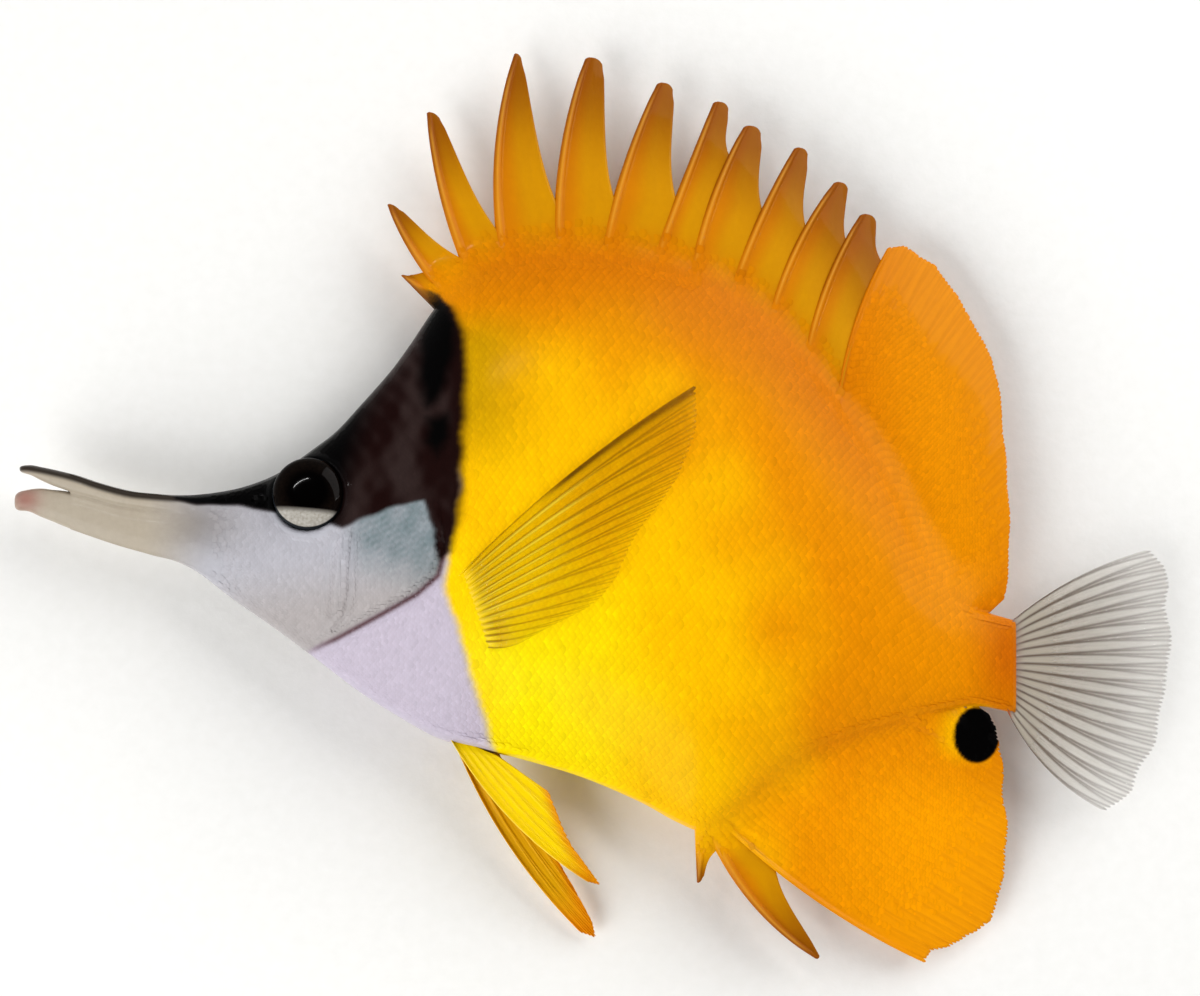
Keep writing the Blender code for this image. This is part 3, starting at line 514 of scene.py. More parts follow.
def markings(x, y):
    """The fish's colour at places on its side view, as linear RGBA."""
    wander_x = x + 0.14 * waves(x, y, 2.4, 1) + 0.05 * waves(x, y, 0.7, 14)
    wander_y = y + 0.12 * waves(x, y, 2.1, 2) * (0.3 + 0.7 * ease(-38, -31, x))
    warm = np.hypot((x + 8) / 34, (y + 22) / 50) + 0.05 * waves(x, y, 7, 3)
    gill = off_line(GILL_LINE, x, y)
    below_gill = ease(-0.2, 0.3, gill)
    pale = ease(0.7, -0.7, off_line(CHEST_REAR, wander_x, wander_y)) * ease(6.0, 3.5, y)
    clouds = 0.85 + 0.1 * waves(x, y, 0.45, 8) + 0.12 * waves(x, y, 1.9, 10)
    teal = ease(-30.4, -26.4, x) * ease(-10.5, -3.0, y + 0.3 * (x + 24)) * clouds
    mask = within(MASK, wander_x, wander_y, 0.6 + 0.7 * ease(-18, -16, x))
    mask_fringe = within(MASK, wander_x - 0.5, wander_y, 1.2) * ease(-18, -16, x)
    mottle = waves(x, y * 0.7, 4.2, 9) + 0.5 * waves(x, y, 1.4, 11)
    mottle = mottle + 0.9 * bell(x + 22 - 0.1 * (y - 10), 1.6)
    spot_x, spot_y = ((at - centre) / half for at, centre, half in zip((x, y), EYESPOT_CENTRE, EYESPOT_HALF))
    spot = np.hypot(spot_x, spot_y)
    halo = bell(spot - 1.0, 0.6) * ease(-31, -27, y) * ease(0.6, -0.3, y - belly(x)) * ease(47.5, 45.5, x)
    paint = np.empty((*np.shape(x), 4))
    paint[:] = linear(LEMON)
    for colour, amount in (
        (YOLK, ease(0.0, 0.62, warm)),
        (AMBER, ease(0.55, 1.12, warm)),
        (OCHRE, 0.75 * ease(-14.0, -1.0, y - back(x)) * ease(42, 26, x) * ease(-23, -10, x)),
        (NAPE_OLIVE, 0.75 * bell(x + 14, 5.5) * ease(2, 12, y) * ease(25, 19, y)),
        (GOLD, ease(-24, -34, y + 0.1 * x) * ease(20, 44, x)),
        (BURNT, 0.8 * bell(np.hypot((x - 48.5) / 1.3, (y + 17) / 2.6), 3.2)),
        (CHEEK, pale),
        (CHEST, pale * below_gill),
        (CHEEK_COOL, 0.6 * pale * (1 - below_gill) * ease(-12, -4, y - 0.15 * (x + 30))),
        (CHEEK_TEAL, 0.75 * teal * pale * (1 - below_gill)),
        (CHEEK_SHADE, 0.8 * bell(np.hypot((x + 48) / 6, (y + 1.5) / 3.5), 1.0)),
        (SNOUT, ease(-45, -54, x)),
        (SNOUT_DARK, ease(1.05, 0.45, back(x) - y) * ease(-48, -50, x)),
        (PINK, bell(np.hypot(x + 67.2, y - 1.4), 1.7) * ease(-60, -64, x)),
        (GILL_RED, 0.85 * bell(gill - 0.25, 0.32) * ease(-36, -30, x) * ease(0.5, -1.5, y)),
        (MASK_OLIVE, 0.55 * mask_fringe),
        (MASK_BROWN, mask),
        (MASK_VIOLET, 0.75 * mask * ease(-0.8, 1.8, mottle) * ease(-16.2, -17.4, x)),
        (MASK_BLACK, ease(-23.5, -28.0, x - 0.25 * y + 4) * mask),
        *((MASK_BLACK, within(patch, wander_x, wander_y, 1.8) * mask) for patch in MASK_PATCHES),
        (YOLK, 0.7 * halo),
        (MASK_BLACK, ease(1.04, 0.92, spot)),
    ):
        paint = lay_paint(paint, colour, amount)
    paint[..., 3] = 1.0
    return paint


skin_finish = Finish("wet_skin", Coat_Weight=0.12, Coat_Roughness=0.07, Specular_IOR_Level=0.1)
blotch = skin_finish.noise(0.9, detail=4.0)
freckle = skin_finish.noise(0.22, detail=2.0)
painted = skin_finish.read("paint", "Color")
skin_finish.feed(
    Base_Color=skin_finish.mix(painted, (0.55, 0.5, 0.5, 1.0), 0.35 * blotch, "MULTIPLY"),
    Roughness=0.22 + 0.25 * freckle,
    Normal=skin_finish.bump(freckle * 0.6 + blotch, 0.05),
)


def skin_stations():
    """Where the skin's cross-sections stand: close at the lips and on the head, wider on the body."""
    tip = LOWER_JAW_TIP + BLUNT_TIP * (1 - np.cos(np.linspace(0, math.pi / 2, 12)))
    head = np.arange(tip[-1] + 0.25, -11.0, 0.27)
    body = np.linspace(head[-1] + 0.6, 49.3, 92)
    return np.concatenate([tip, head, body])


def row_spread(x):
    """Shares down one half of a section. Rows crowd at the edge, and on the snout at the mouth too."""
    t = np.linspace(0, 1, ROWS)[None, :]
    one_end = 1 - np.cos(t * math.pi / 2)
    both_ends = (1 - np.cos(t * math.pi)) / 2
    snout = ease(-38, -48, x)[:, None]
    return one_end * (1 - snout) + both_ends * snout


def make_skin():
    x = skin_stations()
    level = belly(x) + WIDEST_LEVEL * (back(x) - belly(x))
    middle = mouth(x) + (level - mouth(x)) * ease(-47, -36, x)
    share, half_gape = row_spread(x), gape(x) / 2
    halves = [
        outer[:, None] + (inner - outer)[:, None] * shares
        for outer, inner, shares in (
            (back(x), middle + half_gape, share), (belly(x), middle - half_gape, share[:, ::-1]),
        )
    ]
    y = np.concatenate(halves, axis=1)
    centre = np.concatenate([half.mean(1, keepdims=True).repeat(ROWS, 1) for half in halves], axis=1)
    # The upper jaw is a little shorter than the lower one
    shift = (UPPER_JAW_TIP - LOWER_JAW_TIP) * ease(-65.0, LOWER_JAW_TIP, x)[:, None]
    xs = x[:, None] + np.concatenate([np.repeat(shift, ROWS, 1), np.zeros((len(x), ROWS))], axis=1)
    tip = np.clip((x - LOWER_JAW_TIP) / BLUNT_TIP, 0, 1)
    blunt = np.sqrt(1 - (1 - tip) ** 2)[:, None]
    grid_x = np.repeat(x[:, None], 2 * ROWS, 1)
    heights = [MIDDLE_Z + (skin_height(grid_x, y, side) - MIDDLE_Z) * blunt for side in (1, -1)]
    y = centre + (y - centre) * np.sqrt(blunt)
    points = np.concatenate([np.stack([xs, y, z], -1).reshape(-1, 3) for z in heights])
    index = np.arange(y.size).reshape(y.shape)
    quads = grid_faces(index)
    keep = np.ones(quads.shape[:2], bool)
    keep[x[1:] < GAPE_END, ROWS - 1] = False
    quads = quads[keep]
    stern = grid_faces(np.stack([index[-1], index[-1] + y.size])).reshape(-1, 4)
    faces = np.concatenate([quads, quads[:, ::-1] + y.size, stern])
    piece = add_mesh(
        "skin", points, faces, skin_finish, paint=markings(points[:, 0], points[:, 1]),
        cover=np.ones(len(points)),
    )
    close_up(piece)
    return piece


skin = make_skin()
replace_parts(skin, "head", "trunk", "tail_stem", "upper_jaw", "lower_jaw")


# The eyes
# A glossy dome with the iris painted on it. The mask's black runs through the eye, and below it shows a
# silver crescent of the iris. Each eye sits in the ring of skin round its socket.
EYE_DEPTH = 2.25
EYE_Z = 3.4  # from the middle plane to the ball's middle
EYE_TILT = math.radians(12)
EYE_FULLNESS = 3.4  # a power that flattens the dome and steepens its rim
CRESCENT_TOP = -2.0  # in the eye's own millimetres
CRESCENT_SLOPE = -0.085

eye_finish = Finish("cornea", Roughness=0.08, Coat_Weight=0.1, Coat_Roughness=0.01, Specular_IOR_Level=0.03)
eye_across, eye_up = eye_finish.read("eye_across"), eye_finish.read("eye_up")
eye_out = eye_finish.read("eye_out")
silver_edge = eye_up - CRESCENT_SLOPE * eye_across
crescent = eye_finish.fade(silver_edge, CRESCENT_TOP + 0.12, CRESCENT_TOP - 0.12)
crescent = crescent * eye_finish.fade(eye_out, 4.16, 4.02)
flecks = eye_finish.noise(0.35, detail=3.0)
iris = eye_finish.mix(linear((206, 203, 196)), linear((128, 120, 106)), flecks)
iris_shade = eye_finish.fade(silver_edge, CRESCENT_TOP - 0.7, CRESCENT_TOP)
iris = eye_finish.mix(iris, linear((96, 92, 86)), iris_shade)
dark_flecks = eye_finish.fade(eye_out, 1.9, 3.2) * flecks
dark = eye_finish.mix(linear((3, 2, 2)), linear((30, 22, 17)), dark_flecks)
rim = eye_finish.fade(eye_out, 4.06, 4.16)
eye_colour = eye_finish.mix(eye_finish.mix(dark, iris, crescent), linear((34, 38, 42)), rim)
eye_finish.feed(Base_Color=eye_colour)


def make_eye(name, side):
    radii = EYE_RADIUS * np.sin(np.linspace(0, math.pi / 2, 26))
    angles = np.linspace(0, 2 * math.pi, 72, endpoint=False)
    radius, angle = np.meshgrid(radii, angles, indexing="ij")
    across, up = radius * np.cos(angle), radius * np.sin(angle)
    dome = EYE_DEPTH * (1 - (radius / EYE_RADIUS) ** EYE_FULLNESS) ** (1 / EYE_FULLNESS)
    turned_up = up * math.cos(EYE_TILT) + dome * math.sin(EYE_TILT)
    turned_out = dome * math.cos(EYE_TILT) - up * math.sin(EYE_TILT)
    place = np.stack([
        EYE_CENTRE[0] + across, EYE_CENTRE[1] + turned_up, MIDDLE_Z + side * (EYE_Z + turned_out)
    ], -1)
    base = np.stack([*place[-1, :, :2].T, np.full(len(angles), MIDDLE_Z + side * (EYE_Z - 1.0))], -1)
    points = np.concatenate([place.reshape(-1, 3), base])
    rings = np.arange(len(points)).reshape(-1, len(angles))
    faces = grid_faces(np.concatenate([rings, rings[:, :1]], axis=1)).reshape(-1, 4)
    pad = np.zeros(len(angles))
    eye = add_mesh(
        name, points, faces, eye_finish, eye_across=np.append(across, pad), eye_up=np.append(up, pad),
        eye_out=np.append(radius, pad + EYE_RADIUS),
    )
    close_up(eye, rim_sides=100)
    return eye


for name, side in (("eye_left", 1), ("eye_right", -1)):
    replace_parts(make_eye("dressed_" + name, side), name)


# The back fin and the belly fin
# Stiff spines stand in a row, each with a fleshy lobe of skin behind it, and the last one leads a fan of
# soft rays. Each ray forks twice on its way to the thin, slightly torn margin. Both fins grow out of the
# flanks with no edge between, and small scales run on over their lower part.
BACK_SPINES = (
    (-19.2, (-23.2, 27.8), 0.0, 0.0, 0.5),
    (-18.1, (-24.9, 36.3), 0.6, 0.25, 0.9),
    (-15.3, (-20.3, 47.4), 0.8, 0.08, 1.3),
    (-11.4, (-9.9, 54.6), 1.5, 0.12, 0.8),
    (-5.0, (-1.4, 54.1), 1.2, 0.22, 2.1),
    (0.3, (7.2, 51.0), 0.75, 0.28, 2.0),
    (6.2, (13.9, 48.7), 0.1, 0.36, 1.9),
    (10.6, (17.5, 45.8), 0.75, 0.76, 2.2),
    (15.2, (23.5, 43.2), 0.5, 0.53, 1.8),
    (19.7, (28.2, 39.1), 0.9, 0.63, 1.9),
    (24.0, (31.3, 35.3), 0.9, 0.79, 2.1),
)
BACK_LAST_SPINE = (28.0, (34.7, 31.5), 1.0, 0.90)
BACK_MARGIN = (
    (34.7, 31.5), (36.4, 31.9), (37.7, 30.5), (40.6, 29.3), (42.6, 26.2), (45.0, 22.1), (46.9, 18.9),
    (47.9, 14.8), (48.5, 7.8), (49.0, -0.5), (48.8, -7.0), (48.2, -10.3),
)
BACK_RAYS = 22
BACK_RAY_ROOTS = (28.0, 46.4)
BACK_DROOP = 0.0065
BELLY_SPINES = (
    (11.6, (11.8, -44.0), 0.0, 0.0, 0.5),
    (12.9, (26.0, -53.3), -1.5, 0.10, 0.7),
)
BELLY_LAST_SPINE = (14.6, (39.7, -54.4), -1.15, 0.25)
BELLY_MARGIN = (
    (38.3, -53.6), (39.9, -52.7), (43.2, -52.0), (45.4, -51.1), (47.1, -49.4), (48.3, -46.6), (49.0, -42.5),
    (49.0, -38.6), (48.6, -34.7), (48.2, -30.4), (47.9, -27.4), (47.2, -25.2), (46.4, -24.1),
)
BELLY_RAYS = 18
BELLY_RAY_ROOTS = (14.6, 45.4)
BELLY_DROOP = 0.0055
SPINE_RADIUS = (0.66, 0.32)
ROOT_SUNK = 2.0  # how deep a fin's root stands in the flesh
JOIN = 1.1  # how far inside the outline a fin's faces leave the flanks
WEB_HALF = 0.17
WEB_EDGE_HALF = 0.07
WEB_PINCH = 0.55  # how far a lobe's free edge curves in
FIN_ORANGE = (212, 134, 0)
FIN_OLIVE = (212, 152, 0)
FIN_TIP = (138, 72, 0)
# the spine's pale ridge with a painted highlight along it
SPINE_PALE_AND_HIGHLIGHT = (246, 190, 84)


def sheet(middle, half):
    """A thin closed sheet over a grid of middle points: its points and faces."""
    rows, columns = half.shape
    rise = np.stack([np.zeros_like(half), np.zeros_like(half), half], -1)
    points = np.concatenate([(middle + rise).reshape(-1, 3), (middle - rise).reshape(-1, 3)])
    index = np.arange(rows * columns).reshape(rows, columns)
    under = rows * columns
    upper = grid_faces(index).reshape(-1, 4)
    ring = np.concatenate([index[0], index[1:, -1], index[-1, -2::-1], index[-2:0:-1, 0]])
    onward = np.roll(ring, -1)
    wall = np.stack([ring, onward, onward + under, ring + under], -1)
    faces = np.concatenate([upper, upper[:, ::-1] + under, wall])
    first, second = middle[1:, :-1] - middle[:-1, :-1], middle[:-1, 1:] - middle[:-1, :-1]
    turn = (first[..., 0] * second[..., 1] - first[..., 1] * second[..., 0]).sum()
    return points, faces if turn > 0 else faces[:, ::-1]


def both(values):
    """A grid's values for the two faces of its sheet."""
    flat = values.reshape(-1, *values.shape[2:])
    return np.concatenate([flat, flat])


def bowed(root, tip, bow, share):
    """Points at share of the way along lines that bow to their left."""
    along = tip - root
    length = np.linalg.norm(along, axis=-1, keepdims=True)
    left = np.stack([-along[..., 1], along[..., 0]], -1) / length
    share = np.asarray(share)[..., None]
    return root + along * share + left * np.asarray(bow)[..., None] * 4 * share * (1 - share)


def edge_root(edge, x, side):
    """The point just off the body's edge at x, above the back (side 1) or below the belly (side -1)."""
    slope = (edge(x + 0.2) - edge(x - 0.2)) / 0.4
    outward = np.stack([-slope, np.ones_like(slope)], -1) / np.hypot(1, slope)[..., None] * side
    return np.stack([x, edge(x)], -1) + outward * 0.3


def spread(points, count):
    """count points evenly spaced along a line through corners."""
    corners = np.array(points, float)
    lengths = np.concatenate([[0], np.cumsum(np.hypot(*np.diff(corners, axis=0).T))])
    places = np.linspace(0, lengths[-1], count)
    return np.stack([np.interp(places, lengths, corners[:, k]) for k in (0, 1)], -1)


def rooted(place, distance, thin):
    """Thickens a fin towards its root, so that its faces run smoothly into the flanks."""
    half = np.array(thin)
    columns = range(place.shape[1])

    def flank_at(column, at):
        return flank(*(np.interp(at, distance[:, column], place[:, column, k]) for k in (0, 1)))

    ends = np.array([[flank_at(column, at) for column in columns] for at in (-JOIN, -JOIN - 0.3)])
    even = np.ones(13) / 13
    ends = np.stack([np.convolve(np.pad(row, 6, mode="edge"), even, mode="valid") for row in ends])
    for column in columns:
        d = distance[:, column]
        near, deep = ends[:, column]
        slope = np.clip((deep - near) / 0.3, 0.25, 1.2)
        start = np.interp(-JOIN, d, thin[:, column])
        reach = np.clip(2 * (near - start) / slope, 2.0, 7.5)
        left = np.clip(1 - (d + JOIN) / reach, 0, 1)
        outside = thin[:, column] + np.maximum(near - start, 0) * left**2
        inside = flank(place[:, column, 0], place[:, column, 1]) - 0.02 - 0.4 * (d + JOIN) ** 2
        half[:, column] = np.where(d > -JOIN, outside, np.maximum(inside, 0.1))
    return half


class Fan:
    """A fan of soft rays, read at ray number u and share v of a ray's length.

    ray_half is half a ray's width in millimetres at its root and at its tip, ridge is how far it stands
    off the web, and forks are the shares at which a ray splits in two and in four.
    """

    def __init__(self, roots, tips, bows, sunk=ROOT_SUNK, ray_half=(0.22, 0.12), ridge=0.05,
                 forks=(0.3, 0.6), ragged=0.3, steps=12):
        self.roots, self.tips, self.bows = roots, tips, np.asarray(bows, float)
        self.sunk, self.ray_half, self.ridge, self.forks = sunk, ray_half, ridge, forks
        self.ragged, self.steps, self.count = ragged, steps, len(roots)
        self.gaps = [np.linalg.norm(np.diff(ends, axis=0), axis=1).mean() for ends in (roots, tips)]
        self.torn = np.random.default_rng(self.count).uniform(0.2, 1.0, 8 * self.count)

    def along_rays(self, values, u):
        whole = np.arange(self.count)
        if values.ndim == 1:
            return np.interp(u, whole, values)
        return np.stack([np.interp(u, whole, values[:, k]) for k in range(values.shape[1])], -1)

    def place(self, u, v):
        """Where (u, v) is, and how far from the root in millimetres."""
        root, tip = self.along_rays(self.roots, u), self.along_rays(self.tips, u)
        length = np.linalg.norm(tip - root, axis=-1)
        branch = np.clip((u * 4).astype(int), 0, len(self.torn) - 1)
        notch = (0.5 - 0.5 * np.cos(2 * math.pi * (u * 4 - 0.5))) * self.torn[branch]
        short = self.ragged * (notch + 0.5 + 0.5 * waves(u, u * 0.3, 2.1, 5))
        share = v * (1 - np.maximum(short, 0) / length * ease(0.8, 1.0, v))
        return bowed(root, tip, self.along_rays(self.bows, u), share), length * v

    def grid(self, rows):
        u = np.linspace(0, self.count - 1, (self.count - 1) * self.steps + 1)
        length = np.linalg.norm(self.tips - self.roots, axis=-1).mean()
        v = np.linspace(-self.sunk / length, 1, rows)
        return np.meshgrid(v, u, indexing="ij")[::-1]

    def ray(self, u, v):
        """1 on a ray and 0 on the web between."""
        first = 0.25 * ease(self.forks[0], 1.1, v)
        second = 0.125 * ease(self.forks[1], 1.1, v)
        off = u - np.round(u)
        nearest = np.full(np.shape(off), 9.0)
        for a in (-1, 1):
            for b in (-1, 1):
                nearest = np.minimum(nearest, np.abs(off - a * first - b * second))
        share = np.clip(v, 0, 1)
        gap = self.gaps[0] + (self.gaps[1] - self.gaps[0]) * share
        wide = self.ray_half[0] + (self.ray_half[1] - self.ray_half[0]) * share
        return bell(nearest * gap, wide)

    def half(self, u, v, web=WEB_HALF, edge=WEB_EDGE_HALF):
        thin = web + (edge - web) * ease(0.1, 1.0, v)
        return thin + self.ridge * (1 - 0.5 * np.clip(v, 0, 1)) * self.ray(u, v)


fin_finish = Finish("wet_fin_skin", Coat_Weight=0.1, Coat_Roughness=0.05, Specular_IOR_Level=0.09)
streak, cloud = fin_finish.streaks(3.0, 0.16, 0.6), fin_finish.noise(0.7)
ray_shade = 0.25 * fin_finish.read("ray") + 0.5 * streak
shaded = fin_finish.mix(fin_finish.read("paint", "Color"), (0.7, 0.6, 0.5, 1.0), ray_shade, "MULTIPLY")
fin_finish.feed(
    Base_Color=fin_finish.mix(shaded, (0.84, 0.78, 0.6, 1.0), 0.4 * cloud, "MULTIPLY"),
    Roughness=0.38 + 0.25 * streak,
    Normal=fin_finish.bump(streak + 0.4 * cloud, 0.06),
)


def add_fin(name, slot, finish, place, z, half, **values):
    """A fin as one closed sheet, half thick each way. Values are given for each point of its grid."""
    points, faces = sheet(np.concatenate([place, z[..., None]], -1), half)
    piece = add_mesh(name, points, faces, finish, **{key: both(value) for key, value in values.items()})
    return piece


def make_spines(name, edge, side, spines, last_spine, droop):
    """Every free spine with the lobe of skin behind it, as one piece."""
    points, faces, carried, count = [], [], [], 0
    line = [*spines, (*last_spine, 0.0)]
    for number, (spine, following) in enumerate(zip(line, line[1:])):
        root_x, tip, bow, _, tip_width = spine
        next_x, next_tip, next_bow, notch_share, _ = following
        root = edge_root(edge, np.array(root_x), side)
        next_root = edge_root(edge, np.array(next_x), side)
        tip, next_tip = np.array(tip), np.array(next_tip)
        length, next_length = np.linalg.norm(tip - root), np.linalg.norm(next_tip - next_root)
        notch = bowed(next_root, next_tip, next_bow, notch_share)
        corner = tip + (notch - tip) / np.linalg.norm(notch - tip) * 0.3 + np.array([tip_width, 0])
        # Rows run from the sunk root to the tip, first beside the following spine, then up the free edge
        shared, free = 22, 44
        meet_at = min(0.9, np.linalg.norm(notch - next_root) / length)
        low_rows = np.linspace(-ROOT_SUNK / length, meet_at, shared)
        v = np.concatenate([low_rows, np.linspace(meet_at, 1, free + 1)[1:]])
        lead = bowed(root, tip, bow, v)
        trail_share = np.linspace(-ROOT_SUNK / next_length, notch_share, shared)
        trail = bowed(next_root, next_tip, next_bow, np.concatenate([trail_share, np.zeros(free)]))
        up = np.linspace(0, 1, free + 1)[1:, None]
        inward = (tip - corner) / np.linalg.norm(tip - corner)
        trail[shared:] = notch + (corner - notch) * up + inward * WEB_PINCH * 4 * up * (1 - up) ** 2
        onward = edge_root(edge, np.array(next_x + 0.1), side) - next_root
        fading = np.concatenate([np.ones((shared, 1)), (1 - up) ** 5])
        trail += 0.6 * onward / np.linalg.norm(onward) * fading
        width = np.linalg.norm(trail - lead, axis=1)
        radius = SPINE_RADIUS[0] + (SPINE_RADIUS[1] - SPINE_RADIUS[0]) * np.clip(v, 0, 1)
        radius = np.minimum(radius, 0.3 * width)
        round_part = (1 - np.cos(np.linspace(0, math.pi, 13))) / 2
        spine_share = (2 * radius / width)[:, None]
        web_share = spine_share + (1 - spine_share) * np.linspace(0, 1, 17)[None, 1:]
        across = np.concatenate([round_part[None, :] * spine_share, web_share], axis=1)
        place = lead[:, None] + (trail - lead)[:, None] * across[..., None]
        # The tip is rounded off on both sides of its highest point
        behind, ahead = np.clip((across - 0.4) / 0.6, 0, 1), np.clip((0.35 - across) / 0.35, 0, 1)
        drop = (behind**2.5 * 0.7 + ahead**2 * 0.3) * (0.15 + 0.4 * width[:, None])
        drop = drop * ease(0.88, 1.0, v)[:, None]
        place = place - (tip - root) / length * drop[..., None]
        s = across * width[:, None]
        free_rise = np.concatenate([np.zeros(shared), up[:, 0]]) * np.linalg.norm(corner - notch)
        beside = np.concatenate([trail_share, np.full(free, notch_share)]) * next_length + free_rise
        distance = (v * length)[:, None] * (1 - across) + beside[:, None] * across
        web = WEB_HALF + 0.25 * ease(0.6, 0.1, v)[:, None] - 0.12 * across * ease(0.2, 0.6, v)[:, None]
        web = rooted(place, distance, web)
        off_axis = (s - radius[:, None]) / radius[:, None]
        tube = radius[:, None] * np.sqrt(np.clip(1 - off_axis**2, 0, None)) * ease(-1.5, 4.5, distance)
        half = (web**3 * ease(-0.02, 0.35, s) + tube**3) ** (1 / 3) + 0.02
        half = np.where(distance < -JOIN, np.minimum(half, web), half)
        z = MIDDLE_Z - droop * np.maximum(distance, 0) ** 2
        made, joined = sheet(np.concatenate([place, z[..., None]], -1), half)
        points.append(made)
        faces.append(joined + count)
        count += len(made)
        tone = markings(place[..., 0], place[..., 1])
        leave = ease(-1.0, 5.5, distance)
        fin_tone = lay_paint(np.ones_like(tone) * linear(FIN_ORANGE), FIN_OLIVE, ease(0.2, 0.6, across))
        fin_tone = lay_paint(fin_tone, FIN_TIP, 0.8 * ease(0.35, 0.95, v)[:, None] * np.ones_like(across))
        fin_tone = lay_paint(fin_tone, FIN_TIP, 0.5 * bell(s, 0.35) * ease(0.15, 0.5, v)[:, None])
        # Painted highlight along the spine's ridge, over a ridge that is also a little paler of itself
        pale = 0.4 * bell(s - radius[:, None], 0.16) * ease(1.0, 0.8, v)[:, None]
        fin_tone = lay_paint(fin_tone, SPINE_PALE_AND_HIGHLIGHT, pale)
        tone = tone + (fin_tone - tone) * leave[..., None]
        carried.append({
            "paint": both(tone),
            "ray": both(0.35 * bell(s - 2 * radius[:, None], 0.25) * leave),
            "ray_number": both(number + across),
            "distance": both(distance),
            "cover": both(ease(4.5, 0.0, distance) * ease(0.3, 1.0, s)),
        })
    carried = {key: np.concatenate([part[key] for part in carried]) for key in carried[0]}
    piece = add_mesh(name, np.concatenate(points), np.concatenate(faces), fin_finish, **carried)
    return piece


def make_soft_part(name, edge, side, root_ends, margin, last_spine, rays, droop, ragged):
    """The fan of soft rays behind the last spine."""
    _, tip, bow, _ = last_spine
    roots = spread(edge_root(edge, np.linspace(*root_ends, 2 * rays), side), rays + 1)
    tips = spread(margin, rays + 1)
    tips[0] = tip
    fan = Fan(roots, tips, np.linspace(bow, 0, rays + 1), ridge=0.03, ragged=ragged)
    u, v = fan.grid(64)
    place, distance = fan.place(u, v)
    half = fan.half(u, v) + 0.45 * bell(u - 0.12, 0.16) * (1 - 0.55 * np.clip(v, 0, 1))
    half = rooted(place, distance, half)
    z = np.maximum(MIDDLE_Z - droop * np.maximum(distance, 0) ** 2, half + 0.05)
    return add_fin(
        name, "orange_fin", fin_finish, place, z, half, paint=markings(place[..., 0], place[..., 1]),
        ray=fan.ray(u, v) * ease(0.2, 0.8, v), ray_number=u, distance=distance,
        cover=ease(0.98, 0.3, v) * ease(0.25, 0.9, u),
    )


back_spines = make_spines("back_spines", back, 1, BACK_SPINES, BACK_LAST_SPINE, BACK_DROOP)
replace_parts(back_spines, "dorsal_fin_spines")
back_rays = make_soft_part(
    "back_rays", back, 1, BACK_RAY_ROOTS, BACK_MARGIN, BACK_LAST_SPINE, BACK_RAYS, BACK_DROOP, 0.28
)
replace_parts(back_rays, "dorsal_fin_rays")
belly_spines = make_spines("belly_spines", belly, -1, BELLY_SPINES, BELLY_LAST_SPINE, BELLY_DROOP)
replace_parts(belly_spines, "anal_fin_spines")
belly_rays = make_soft_part(
    "belly_rays", belly, -1, BELLY_RAY_ROOTS, BELLY_MARGIN, BELLY_LAST_SPINE, BELLY_RAYS, BELLY_DROOP, 0.5
)
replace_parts(belly_rays, "anal_fin_rays")


# The tail fin
# A clear web on close-set grey rays that fork towards its thin rear edge.
TAIL_ROOT = ((48.3, -13.6), (48.3, -23.4))
TAIL_MARGIN = (
    (66.5, -4.5), (68.0, -7.0), (68.6, -11.5), (68.6, -17.0), (68.0, -22.5), (66.5, -28.5), (64.2, -33.2),
    (61.0, -36.1),
)
TAIL_RAYS = 17
TAIL_BOWS = (1.3, -1.6)
TAIL_DROOP = 0.010
TAIL_GREY = (112, 98, 86)
TAIL_WEB = (192, 184, 168)
TAIL_BASE = (176, 158, 148)


def make_web_finish(name, web_alpha, ray_alpha, tint):
    """A thin see-through web on rays that let less light through."""
    finish = Finish(name, Coat_Weight=0.2, Coat_Roughness=0.05, Specular_IOR_Level=0.15)
    ray, clear, streak = finish.read("ray"), finish.read("clear"), finish.streaks(6.0, 0.2, 0.65)
    alpha = (ray * (ray_alpha - web_alpha) + web_alpha * (0.5 + streak)) * clear
    finish.feed(
        Base_Color=finish.mix(finish.read("paint", "Color"), tint, 0.6 * streak, "MULTIPLY"),
        Roughness=0.2 + 0.25 * streak,
        Alpha=finish.node("Clamp", {0: alpha}),
        Normal=finish.bump(ray + streak, 0.05),
    )
    return finish


tail_finish = make_web_finish("clear_web", 0.24, 0.56, (0.74, 0.7, 0.68, 1.0))


def make_tail_fin():
    fan = Fan(
        spread(TAIL_ROOT, TAIL_RAYS), spread(TAIL_MARGIN, TAIL_RAYS), np.linspace(*TAIL_BOWS, TAIL_RAYS),
        sunk=0.8, ray_half=(0.13, 0.16), ridge=0.1, forks=(0.1, 0.45), ragged=0.7, steps=24,
    )
    u, v = fan.grid(72)
    place, distance = fan.place(u, v)
    half = fan.half(u, v, web=0.1, edge=0.04)
    half = half + (0.9 - half) * np.clip(1 - distance / 3.5, 0, 1) ** 2
    z = np.maximum(MIDDLE_Z - TAIL_DROOP * np.maximum(distance - 1, 0) ** 2, half)
    ray = fan.ray(u, v)
    tone = lay_paint(np.ones((*u.shape, 4)) * linear(TAIL_WEB), TAIL_GREY, ray)
    tone = lay_paint(tone, TAIL_BASE, ease(0.12, 0.02, v))
    tone = lay_paint(tone, BURNT, 0.8 * ease(1.3, 0.3, distance + 0.4 * waves(u, u, 1.5, 12)))
    return add_fin(
        "tail_fin", "clear_fin", tail_finish, place, z, half, paint=tone,
        ray=np.maximum(ray, ease(0.4, 0.03, v)), clear=1.5 - ease(0.15, 0.9, v), ray_number=u,
        distance=distance,
    )


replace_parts(make_tail_fin(), "caudal_fin")


